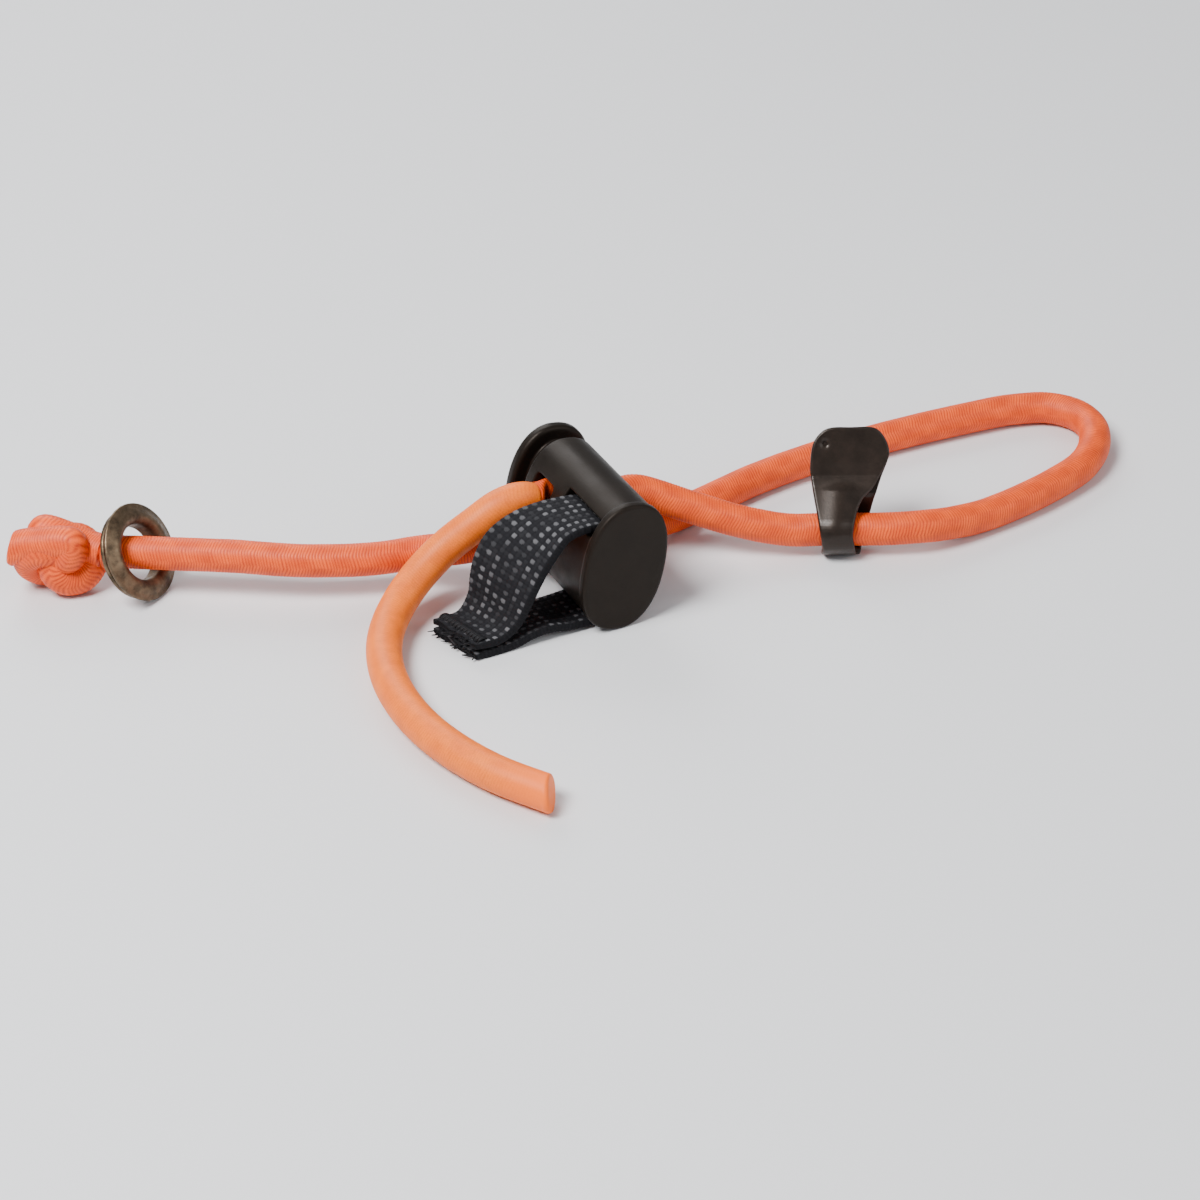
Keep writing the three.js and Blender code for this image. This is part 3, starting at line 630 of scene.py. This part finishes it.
def sheath_material(name, colour, relief=1.0, cut=None):
    """Braided polyester sheath: a painted highlight, lighter and yellower, on top of each stitch, and painted shade,
    deeper and redder, in the grooves, with slow changes of depth along it, and a deeper colour towards a cut end."""
    m, tree, shader = material(name, colour, 0.5, specular=0.3)
    height = node(tree, "ShaderNodeAttribute", attribute_name="relief")
    # painted shade in the grooves and a painted highlight on the stitch tops: the colour follows the stitches' height
    low = tuple(c * (1 - k * relief) for c, k in zip(colour, (0.36, 0.6, 0.7)))
    high = tuple(min(1, c * (1 + k * relief)) for c, k in zip(colour, (0.18, 0.45, 0.7)))
    c = ramp(tree, height.outputs["Fac"], low, high, (0.15, 0.95))
    fibre, slow = noise(tree, 7000, 2), noise(tree, 500, 3)
    f = ramp(tree, fibre.outputs["Fac"], (0.72,) * 3, (1.0,) * 3, (0.35, 0.65))
    w = ramp(tree, slow.outputs["Fac"], (0.88, 0.82, 0.8), (1.0, 1.0, 1.0), (0.35, 0.62))
    last = multiplied(tree, multiplied(tree, c.outputs["Color"], f.outputs["Color"], 0.5), w.outputs["Color"], 1.0)
    if cut:
        near = node(tree, "ShaderNodeAttribute", attribute_name="cut")
        mix = node(tree, "ShaderNodeMix", data_type="RGBA")
        tree.links.new(near.outputs["Fac"], mix.inputs["Factor"])
        tree.links.new(last, mix.inputs[6])
        mix.inputs[7].default_value = (*cut, 1)
        last = mix.outputs[2]
    tree.links.new(last, shader.inputs["Base Color"])
    bump(tree, shader, fibre.outputs["Fac"], 0.00002, 0.5)
    return m


def tape_material(colour):
    """Black webbing: dark yarns, painted darker in the weave's hollows as shade, with painted highlights of uneven
    brightness on the tops of the yarns.
    """
    m, tree, shader = material("webbing", colour, 0.8, specular=0.12)
    relief = node(tree, "ShaderNodeAttribute", attribute_name="relief")
    yarn_highlight = node(tree, "ShaderNodeAttribute", attribute_name="yarn_highlight")
    # painted shade: the yarn colour darkened in the weave's hollows and lightened on the yarn tops, following the
    # yarns' height
    dark = ramp(tree, relief.outputs["Fac"], shade(colour, 0.25), shade(colour, 1.5), (0.1, 0.9))
    # painted highlight: light added on the tops of the yarns
    light = ramp(tree, yarn_highlight.outputs["Fac"], (0, 0, 0), (0.11, 0.11, 0.115), (0.05, 0.95))
    mix = node(tree, "ShaderNodeMix", data_type="RGBA", blend_type="ADD")
    mix.inputs["Factor"].default_value = 1.0
    tree.links.new(dark.outputs["Color"], mix.inputs[6])
    tree.links.new(light.outputs["Color"], mix.inputs[7])
    tree.links.new(mix.outputs[2], shader.inputs["Base Color"])
    fibre = noise(tree, 11000, 2)
    bump(tree, shader, fibre.outputs["Fac"], 0.00005, 0.6)
    return m


def lacquer_material(colour):
    """Dark lacquered metal with fine specks and softly worn lighter patches."""
    made = material("dark lacquer", colour, 0.34, metallic=0.2, coat=0.25, specular=0.25, tint=(1, 0.84, 0.74))
    return mottled(made, colour, (0.75, 1.7), (0.3, 0.5), (420, 6), (3800, 3), (0.00003, 0.6))


def bronze_material(colour):
    """Aged bronze: brown metal with darker stains and bright rubbed specks."""
    made = material("aged bronze", colour, 0.42, metallic=0.85)
    return mottled(made, colour, (0.45, 1.5), (0.3, 0.6), (700, 6), (2600, 4), (0.00006, 0.7), at=(0.35, 0.68))


def steel_material():
    """Bright drawn spring wire."""
    m, tree, shader = material("spring wire", (0.55, 0.56, 0.57), 0.28, metallic=1.0)
    fine = noise(tree, 3000, 2)
    bump(tree, shader, fine.outputs["Fac"], 0.00001, 0.4)
    return m


def thread_material(colour):
    """Black sewing thread."""
    m, tree, shader = material("sewing thread", colour, 0.6, specular=0.2)
    fine = noise(tree, 9000, 2)
    bump(tree, shader, fine.outputs["Fac"], 0.00003, 0.6)
    return m


def finish(obj, mat, body, slot, *nodes):
    """Gives a piece its material and its body, and hides the CAD nodes it stands for. The slot is not used."""
    obj.data.materials.append(mat)
    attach(obj, body)
    if nodes:
        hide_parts(*nodes)
    return obj


_made = {}


def shared(kind):
    """Each finish is made once and used by every piece that has it."""
    s = bpy.context.scene
    if kind not in _made:
        _made[kind] = {
            "plastic": lambda: plastic_material(tuple(s.cord_lock_hard.plastic)),
            "sheath": lambda: sheath_material("elastic sheath", tuple(s.cord_lock_cord.colour)),
            "tail": lambda: sheath_material("worn sheath", tuple(s.cord_lock_cord.tail), 0.3, (1.0, 0.17, 0.008)),
            "tape": lambda: tape_material(tuple(s.cord_lock_tape.colour)),
            "lacquer": lambda: lacquer_material(tuple(s.cord_lock_hard.hook)),
            "bronze": lambda: bronze_material(tuple(s.cord_lock_hard.eyelet)),
            "steel": steel_material,
            "thread": lambda: thread_material(tuple(s.cord_lock_tape.colour)),
        }[kind]()
    return _made[kind]


# ---------------------------------------------------------------- operators


class CORDLOCK_OT_stage(bpy.types.Operator):
    """Pale floor, soft studio lights and the camera"""

    bl_idname = "cordlock.stage"
    bl_label = "Stage"

    def execute(self, context):
        scene = context.scene
        s = 3.0
        mesh = bpy.data.meshes.new("floor")
        mesh.from_pydata([(-s, -s, 0), (s, -s, 0), (s, s, 0), (-s, s, 0)], [], [(0, 1, 2, 3)])
        floor = bpy.data.objects.new("floor", mesh)
        scene.collection.objects.link(floor)
        mesh.materials.append(material("pale floor", (0.74, 0.745, 0.76), 0.7)[0])

        world = bpy.data.worlds.new("studio")
        world.use_nodes = True
        world.node_tree.nodes["Background"].inputs["Color"].default_value = (0.93, 0.95, 1.0, 1)
        world.node_tree.nodes["Background"].inputs["Strength"].default_value = 0.33
        scene.world = world
        for name, place, size, power in (
            ("key", (-0.25, -0.05, 0.42), 0.2, 4.3),
            ("fill", (0.35, -0.45, 0.35), 0.45, 1.6),
            ("rim", (0.05, 0.45, 0.3), 0.3, 1.6),
        ):
            light = bpy.data.lights.new(name, "AREA")
            light.energy, light.size = power, size
            obj = bpy.data.objects.new(name, light)
            obj.location = place
            obj.rotation_euler = (Vector((0.015, 0, 0)) - obj.location).to_track_quat("-Z", "Y").to_euler()
            scene.collection.objects.link(obj)

        cam = bpy.data.cameras.new("camera")
        cam.lens, cam.sensor_width = 100.9, 36.0
        cam.clip_start, cam.clip_end = 0.01, 10.0
        obj = bpy.data.objects.new("camera", cam)
        obj.location = (-0.11792, -0.2784, 0.20153)
        obj.rotation_euler = [math.radians(a) for a in (56.9893, 0.989, -26.3214)]
        scene.collection.objects.link(obj)
        scene.camera = obj
        return {"FINISHED"}


class CORDLOCK_OT_cords(bpy.types.Operator):
    """The three free lengths of elastic, and the two strands pinched in the lock"""

    bl_idname = "cordlock.cords"
    bl_label = "Elastic cords"

    def execute(self, context):
        settings = context.scene.cord_lock_cord
        for name, route, cad in (
            ("cord_tail_sheath", TAIL_ROUTE, "cord_tail"),
            ("cord_eyelet_sheath", EYELET_ROUTE, "cord_eyelet_side"),
            ("cord_loop_sheath", LOOP_ROUTE, "cord_loop"),
        ):
            tail = cad == "cord_tail"
            looks = {"radius": TAIL_R, "relief": 0.3, "cut": True, "mouth": 0.15, "step": 0.1} if tail else {}
            points, faces, relief, near = tube(smooth_line(route), settings, **looks)
            obj = mesh_object(name, points, faces, attributes={"relief": relief, "cut": near})
            finish(obj, shared("tail" if tail else "sheath"), "lock", "orange_elastic", cad)
        strand = smooth_line(np.array([[x, HOLE_Y, 0.0] for x in np.linspace(-STRAND_END - GAP, STRAND_END + GAP, 9)]))
        line, s = even(strand, 0.08)
        around = 44
        turn = np.arange(around) / around
        relief = sheath(s[:, None], turn[None, :], settings.stitch / MM)
        t = np.clip((np.abs(line[:, 0]) - 3.3) / 1.5, 0, 1)
        ease = t * t * (3 - 2 * t)
        thick = 0.85 + (0.9 * CORD_R - 0.85) * ease
        wide = 1.75 + (0.9 * CORD_R - 1.75) * ease
        middle = PINCH_TOP - thick
        r = 1 - 0.03 * (1 - relief)
        a = 2 * math.pi * turn
        for name, z in (("cord_pinch_upper", STRAND_Z), ("cord_pinch_lower", -STRAND_Z)):
            points = np.stack(
                [
                    np.repeat(line[:, :1], around, axis=1),
                    middle[:, None] + thick[:, None] * np.cos(a) * r,
                    z + wide[:, None] * np.sin(a) * r,
                ],
                axis=-1,
            ).reshape(-1, 3)
            faces = grid_faces(len(line), around, wrap_columns=True)
            obj = mesh_object(name + "_sheath", leaned(points), faces, attributes={"relief": relief.ravel()})
            finish(obj, shared("sheath"), "lock", "orange_elastic", name)
        return {"FINISHED"}


class CORDLOCK_OT_knot(bpy.types.Operator):
    """The stopper knot behind the eyelet"""

    bl_idname = "cordlock.knot"
    bl_label = "Stopper knot"

    def execute(self, context):
        settings = context.scene.cord_lock_cord
        points, faces, relief, near = tube(smooth_line(knot_route()), settings, cut=True, mouth=0, level=KNOT_SIDE)
        obj = mesh_object("stopper_knot_tied", points, faces, attributes={"relief": relief, "cut": 0 * near})
        finish(obj, shared("sheath"), "lock", "orange_elastic", "stopper_knot")
        return {"FINISHED"}


class CORDLOCK_OT_barrel(bpy.types.Operator):
    """The barrel, moulded in one piece with its end plate"""

    bl_idname = "cordlock.barrel"
    bl_label = "Barrel"

    def execute(self, context):
        points, faces = field_surface(barrel_field, (-5.4, -0.5, -8.1), (5.4, 17.6, 8.1), 0.16)
        obj = mesh_object("barrel_moulding", leaned(points), faces)
        finish(obj, shared("plastic"), "lock", "black_plastic", "barrel")
        return {"FINISHED"}


class CORDLOCK_OT_button(bpy.types.Operator):
    """The push button"""

    bl_idname = "cordlock.button"
    bl_label = "Push button"

    def execute(self, context):
        points, faces = field_surface(button_field, (-5.4, 9.8, -8.1), (5.4, 21.2, 8.1), 0.16)
        obj = mesh_object("button_moulding", leaned(points), faces)
        finish(obj, shared("plastic"), "button", "black_plastic", "plunger")
        return {"FINISHED"}


class CORDLOCK_OT_spring(bpy.types.Operator):
    """The coil spring behind the button"""

    bl_idname = "cordlock.spring"
    bl_label = "Spring"

    def execute(self, context):
        turns, wire, r = SPRING["turns"], SPRING["wire"], SPRING["r"]
        low, high = SPRING["low"] + wire, SPRING["high"] - wire
        t = np.linspace(0, 1, 420)
        closed = np.clip(t * turns - 0.75, 0, turns - 1.5) / (turns - 1.5)
        turn = 2 * math.pi * turns * t
        ends = np.clip(t * turns, 0, 1) + np.clip(t * turns - turns + 1, 0, 1)
        y = low + (high - low - 2 * wire) * closed + wire * ends
        centre = np.stack([r * np.cos(turn), y, BORE_Z + r * np.sin(turn)], axis=1)
        out = np.stack([np.cos(turn), 0 * turn, np.sin(turn)], axis=1)
        a = np.arange(12) / 12 * 2 * math.pi
        ring = out[:, None, :] * np.cos(a)[None, :, None] + np.array([0, 1.0, 0]) * np.sin(a)[None, :, None]
        points = (centre[:, None, :] + wire * ring).reshape(-1, 3)
        obj = mesh_object("spring_coil", leaned(points), capped_tubes(len(t), 12))
        finish(obj, shared("steel"), "lock", "spring_steel", "spring")
        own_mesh(obj)
        return {"FINISHED"}


ARCH = [[-13.2, 0.1, 0.95, 0.1], [-11.2, 0.4, 0.7, 0.3], [-8.6, 0.5, 0.4, 0.4], [-6.0, 0.25, 0.2, 0.2]]
DRAPE = [
    [-6.3, 0.99, 0.5, -0.25], [-8.6, 0.89, 1.1, -0.8], [-10.6, 0.73, 1.6, -1.1], [-11.9, 0.53, 1.7, -1.0],
    [-12.7, 0.34, 1.5, -0.8], [-13.4, 0.16, 1.2, -0.4],
]


def oval_point(half, t):
    """The point of a superellipse at angle t."""
    c, s = math.cos(t), math.sin(t)
    return [h * math.copysign(abs(v) ** (2 / OVAL_POWER), v) for h, v in zip(half, (c, s))]


def tape_line(near):
    """One edge of the tape in the X-Z plane: flat tab, under the core, up its right side, back through the slot and
    down in a drape to the tab again. Near is 1 for the edge by the end plate and -1 for the other; where the tape is
    free, its two edges part."""

    def up(x, z):
        q = leaned(np.array([[x, 0, z]]))[0]
        return [q[0], q[2]]

    low, high, skew = TAB["low"], TAB["high"], TAB["skew"]
    line = [[x + near * skew, low] for x in (TAB["x0"], TAB["x1"])]
    line += [[x + near * right, low + z + near * rise] for x, z, right, rise in ARCH]
    path = (CORE[0] + GAP + TAPE_T / 2, CORE[1] + GAP + TAPE_T / 2)
    mid, bend = SLOT[0] + GAP + TAPE_T / 2 + 0.1, TAPE_T / 2 + 0.5
    bend_z = mid - bend
    bend_x = path[0] * (1 - (bend_z / path[1]) ** OVAL_POWER) ** (1 / OVAL_POWER) - bend
    turns = [t for t in np.arange(-1.5, 1.6, 0.165) if path[1] * math.sin(t) < bend_z - 0.4]
    line += [up(*oval_point(path, t)) for t in turns]
    line += [up(bend_x + bend * math.cos(t), bend_z + bend * math.sin(t)) for t in np.arange(0.1, 1.6, 0.35)]
    mouth = 0.7 - BODY[0]
    line += [up(x, mid) for x in (bend_x - 1.2, -0.8, mouth)]
    drop = up(mouth, mid)[1] - high
    line += [[x + near * right, high + drop * share + near * rise] for x, share, right, rise in DRAPE]
    return line + [[x + near * skew, high] for x in (TAB["x1"], TAB["x0"])]


def weave(s, w, weft, warp):
    """Plain weave: at each place the higher of two rounded yarns, a warp yarn that runs along the tape and waves over
    and under the wefts, and a weft yarn across it that waves the other way. Returns the height from -1 to 1, which yarn
    is on top, and the numbers of the weft and warp yarns."""
    i, j = np.floor(s / weft), np.floor(w / warp)
    fi, fj = s / weft - i - 0.5, w / warp - j - 0.5
    parity = np.where((i + j) % 2 == 0, 1.0, -1.0)
    up = parity * np.cos(math.pi * fi)
    down = -parity * np.cos(math.pi * fj)
    warp_top = 0.55 * up + 0.9 * np.sqrt(np.clip(1 - (1.9 * fj) ** 2, 0, 1)) - 0.5
    weft_top = 0.55 * down + 0.9 * np.sqrt(np.clip(1 - (1.9 * fi) ** 2, 0, 1)) - 0.5
    return np.maximum(warp_top, weft_top), np.where(warp_top > weft_top, 1, 0), i, j


def fray_threads(ends):
    """Short yarn ends that stick out of the tape's two cut ends: thin tapered tubes, each bent a little its own way."""
    rng = np.random.default_rng(11)
    count, rows, sides = 44, 7, 6
    k = np.arange(count)
    share = rng.uniform(0.03, 0.97, count)
    end = ends[k % 2]
    x = end[:, 0] * (1 - share) + end[:, 2] * share
    z = end[:, 1] * (1 - share) + end[:, 3] * share + rng.uniform(-0.3, 0.3, count)
    y = TAPE_Y[0] + share * (TAPE_Y[1] - TAPE_Y[0])
    out = rng.uniform(0.15, 0.95, count)
    t = np.linspace(0, 1, rows)[None, :]
    px = x[:, None] + 0.5 - (out[:, None] + 0.5) * t
    py = y[:, None] + (rng.uniform(-0.5, 0.5, count)[:, None]) * t**2
    pz = z[:, None] + (rng.uniform(-0.15, 0.45, count)[:, None]) * t**2
    pz = np.maximum(pz, 0.15)
    a = np.arange(sides) / sides * 2 * math.pi
    r = (rng.uniform(0.09, 0.17, count)[:, None] * (1 - 0.6 * t**2))[..., None]
    points = np.stack(
        [px[..., None] + 0 * r * a, py[..., None] + r * np.cos(a), pz[..., None] + r * np.sin(a)], axis=-1
    ).reshape(-1, 3)
    return points, capped_tubes(rows, sides, count)


class CORDLOCK_OT_tape(bpy.types.Operator):
    """The woven tether tape, looped through the slot and round the barrel"""

    bl_idname = "cordlock.tape"
    bl_label = "Tether tape"

    def execute(self, context):
        settings = context.scene.cord_lock_tape
        warp, weft = settings.warp / MM, settings.weft / MM
        edges = np.hstack([open_spline(tape_line(1)), open_spline(tape_line(-1))])
        middle = (edges[:, :2] + edges[:, 2:]) / 2
        at = np.concatenate([[0], np.cumsum(np.linalg.norm(np.diff(middle, axis=0), axis=1))])
        s = np.linspace(0, at[-1], math.ceil(at[-1] / (weft / 4)) + 1)
        edges = np.stack([np.interp(s, at, edges[:, k]) for k in range(4)], axis=1)
        width = TAPE_Y[1] - TAPE_Y[0]
        across = np.arange(0, width + 1e-6, width / 60)
        half = TAPE_T / 2 - 0.08
        # round the section: the outer face, a rounded selvedge, the inner face and the other selvedge
        bend = np.linspace(0, math.pi, 7)[1:-1]
        w = np.concatenate([across, width + 0 * bend, across[::-1], 0 * bend])
        edge = np.concatenate([0 * across, np.sin(bend), 0 * across, -np.sin(bend)])
        level = np.concatenate([1 + 0 * across, np.cos(bend), -1 + 0 * across, -np.cos(bend)])
        height, on_top, i, j = weave(s[:, None], w[None, :] + 0 * s[:, None], weft, warp)
        relief = 0.085  # of the yarns, on the two flat faces only
        lift = level[None, :] * half + np.sign(level)[None, :] * relief * height * (np.abs(level) > 0.99)
        inset = 0.12  # of the selvedge
        scallop = (0.7 + 0.3 * np.sin(math.pi * s / weft))[:, None]
        y = TAPE_Y[0] + inset + (w * (width - 2 * inset) / width)[None, :] + inset * edge[None, :] * scallop
        share = (w / width)[None, :, None]
        middle = edges[:, None, :2] * (1 - share) + edges[:, None, 2:] * share
        slope = np.gradient(middle, axis=0)
        slope /= np.linalg.norm(slope, axis=2)[..., None]
        frayed = np.clip(1 - np.minimum(s, s[-1] - s) / 1.5, 0, 1)[:, None]
        lift = lift * (1 - 0.3 * frayed) + 0.12 * frayed * np.sin(w * 1.9)[None, :]
        x, z = middle[..., 0] - slope[..., 1] * lift, middle[..., 1] + slope[..., 0] * lift
        points = np.stack([x, y + 0 * lift, z], axis=-1)
        rows, columns = points.shape[:2]
        rng = np.random.default_rng(7)
        table = rng.random((2, 400, 40))
        i, j = i.astype(int), j.astype(int)
        speckle = np.where(on_top == 1, table[0][i % 400, j % 40], table[1][i % 400, j % 40])
        # painted highlights on the yarn tops: strongest on every second warp yarn where it lies on top, of random
        # brightness, faint elsewhere
        highlight_yarns = (on_top == 1) & (j % 2 == 0)
        yarn_highlight = np.where(highlight_yarns, 0.12 + 0.88 * speckle**1.4, 0.1 * speckle) * np.clip(height * 2.4 - 0.1, 0, 1)
        points = points.reshape(-1, 3)
        obj = mesh_object(
            "tether_tape_woven",
            points,
            capped_tubes(rows, columns),
            attributes={"relief": (height.ravel() + 1) / 2, "yarn_highlight": yarn_highlight.ravel()},
        )
        finish(obj, shared("tape"), "lock", "black_tape", "tether_tape")
        fray = fray_threads(edges[[0, -1]])
        finish(mesh_object("tape_end_fray", *fray), shared("thread"), "lock", "black_tape")
        return {"FINISHED"}


class CORDLOCK_OT_hook(bpy.types.Operator):
    """The lace hook on the loop"""

    bl_idname = "cordlock.hook"
    bl_label = "Lace hook"

    def execute(self, context):
        points, faces = field_surface(hook_field, (-5.0, -3.7, -3.5), (4.8, 3.4, 12.0), 0.1)
        obj = mesh_object("hook_pressing", placed_hook(points), faces)
        finish(obj, shared("lacquer"), "lace_hook", "dark_metal", "hook")
        return {"FINISHED"}


def turned(profile, sides=128):
    """A lathe: the closed profile of (radius, height) points swept round the height axis."""
    profile = np.asarray(profile, float)
    a = np.arange(sides) / sides * 2 * math.pi
    points = np.stack(
        [
            profile[None, :, 0] * np.cos(a)[:, None],
            profile[None, :, 1] + 0 * a[:, None],
            profile[None, :, 0] * np.sin(a)[:, None],
        ],
        axis=-1,
    )
    return points.reshape(-1, 3), grid_faces(sides, len(profile), wrap_rows=True, wrap_columns=True)


def placed_eyelet(points):
    """The eyelet's own frame, whose height axis points out of its face, turned to its place on the cord."""
    across = np.cross(EYE_AXIS, [0.0, 0.0, 1.0])
    across /= np.linalg.norm(across)
    up = np.cross(across, EYE_AXIS)
    x, y, z = points.T[:, :, None]
    return x * across + y * EYE_AXIS + z * up + EYE_AT + EYE_AXIS * 0.025


class CORDLOCK_OT_eyelet(bpy.types.Operator):
    """The eyelet and its washer"""

    bl_idname = "cordlock.eyelet"
    bl_label = "Eyelet"

    def execute(self, context):
        rim = [
            [3.1, -1.1], [3.5, -1.1], [3.5, -0.6], [3.52, 0.0], [4.2, 0.0], [5.25, 0], [5.42, 0.06], [5.5, 0.2],
            [5.46, 0.36], [5.34, 0.45], [4.9, 0.6], [4.4, 0.86], [4.15, 0.95], [3.95, 0.98], [3.7, 0.93], [3.5, 0.82],
            [3.3, 0.64], [3.17, 0.44], [3.1, 0.15], [3.1, -0.4],
        ]
        ring = [
            [3.8, -0.95], [3.85, -1.0], [4.95, -1.0], [5.0, -0.95], [5.0, -0.6], [4.9, -0.5], [3.9, -0.5], [3.8, -0.6],
        ]
        for name, line, cad in (
            ("eyelet_rim", face_outline(rim), "eyelet"),
            ("eyelet_ring", ring, "eyelet_washer"),
        ):
            points, faces = turned(line)
            obj = mesh_object(name, placed_eyelet(points), faces)
            finish(obj, shared("bronze"), "eyelet_ring", "aged_brass", cad)
        return {"FINISHED"}


class CORDLOCK_OT_stitches(bpy.types.Operator):
    """The bar tack through the tape's two ends"""

    bl_idname = "cordlock.stitches"
    bl_label = "Bar tack"

    def execute(self, context):
        count, rows, sides = 26, 15, 8
        k = np.arange(count)
        t = np.linspace(0, 1, rows)
        y0 = TAPE_Y[0] + 0.45 + (TAPE_Y[1] - TAPE_Y[0] - 0.9) * k / (count - 1)
        middle = TAB["x0"] + 1.1 + TAB["skew"] * (sum(TAPE_Y) / 2 - y0) / (sum(TAPE_Y) / 2 - TAPE_Y[0])
        x = middle[:, None] + (t - 0.5)[None, :] * 1.2 * np.where(k % 2 == 0, 1, -1)[:, None]
        y = y0[:, None] + 0.12 * t[None, :]
        z = TAB["high"] + TAPE_T / 2 - 0.25 + 0.42 * np.sin(math.pi * t)[None, :] ** 0.5 + 0 * k[:, None]
        line = np.stack([x, y, z], axis=-1)
        a = np.arange(sides) / sides * 2 * math.pi
        thread = np.stack([0 * a, np.cos(a), np.sin(a)], axis=-1) * 0.13
        points = (line[:, :, None, :] + thread[None, None]).reshape(-1, 3)
        obj = mesh_object("bar_tack_thread", points, capped_tubes(rows, sides, count))
        finish(obj, shared("thread"), "lock", "black_thread", "tape_bartack")
        return {"FINISHED"}


class CORDLOCK_PT_panel(bpy.types.Panel):
    """Lists the pieces in the sidebar"""

    bl_idname = "CORDLOCK_PT_panel"
    bl_label = "Cord lock"
    bl_space_type = "VIEW_3D"
    bl_region_type = "UI"
    bl_category = "Cord lock"

    def draw(self, context):
        for operator in OPERATORS:
            self.layout.operator(operator.bl_idname)
        for group in GROUPS:
            settings = getattr(context.scene, group)
            for key in settings.bl_rna.properties.keys():
                if key not in ("rna_type", "name"):
                    self.layout.prop(settings, key)


OPERATORS = (
    CORDLOCK_OT_stage,
    CORDLOCK_OT_cords,
    CORDLOCK_OT_knot,
    CORDLOCK_OT_barrel,
    CORDLOCK_OT_button,
    CORDLOCK_OT_spring,
    CORDLOCK_OT_tape,
    CORDLOCK_OT_hook,
    CORDLOCK_OT_eyelet,
    CORDLOCK_OT_stitches,
)
GROUPS = {"cord_lock_cord": CordLockCord, "cord_lock_tape": CordLockTape, "cord_lock_hard": CordLockHard}


def register():
    """Adds the classes and the scene's settings."""
    for c in (*GROUPS.values(), *OPERATORS, CORDLOCK_PT_panel):
        bpy.utils.register_class(c)
    for key, group in GROUPS.items():
        setattr(bpy.types.Scene, key, PointerProperty(type=group))


def unregister():
    """Removes them again."""
    for key in GROUPS:
        delattr(bpy.types.Scene, key)
    for c in reversed((*GROUPS.values(), *OPERATORS, CORDLOCK_PT_panel)):
        bpy.utils.unregister_class(c)


def declare_cords():
    """Works out an even line in metres along each free cord; nothing more is done with it."""
    for name, route, far_end, with_pieces in (
        ("cord_tail_sheath", TAIL_ROUTE, "bare", []),
        ("cord_eyelet_sheath", EYELET_ROUTE, "knot", ["eyelet_rim", "eyelet_ring", "stopper_knot_tied"]),
        ("cord_loop_sheath", LOOP_ROUTE, "object", ["hook_pressing"]),
    ):
        line = (even(smooth_line(route), 0.12)[0] + ORIGIN) * MM


def main():
    register()
    for operator in OPERATORS:
        group, name = operator.bl_idname.split(".")
        getattr(getattr(bpy.ops, group), name)()
    declare_cords()


if __name__ == "__main__":
    main()
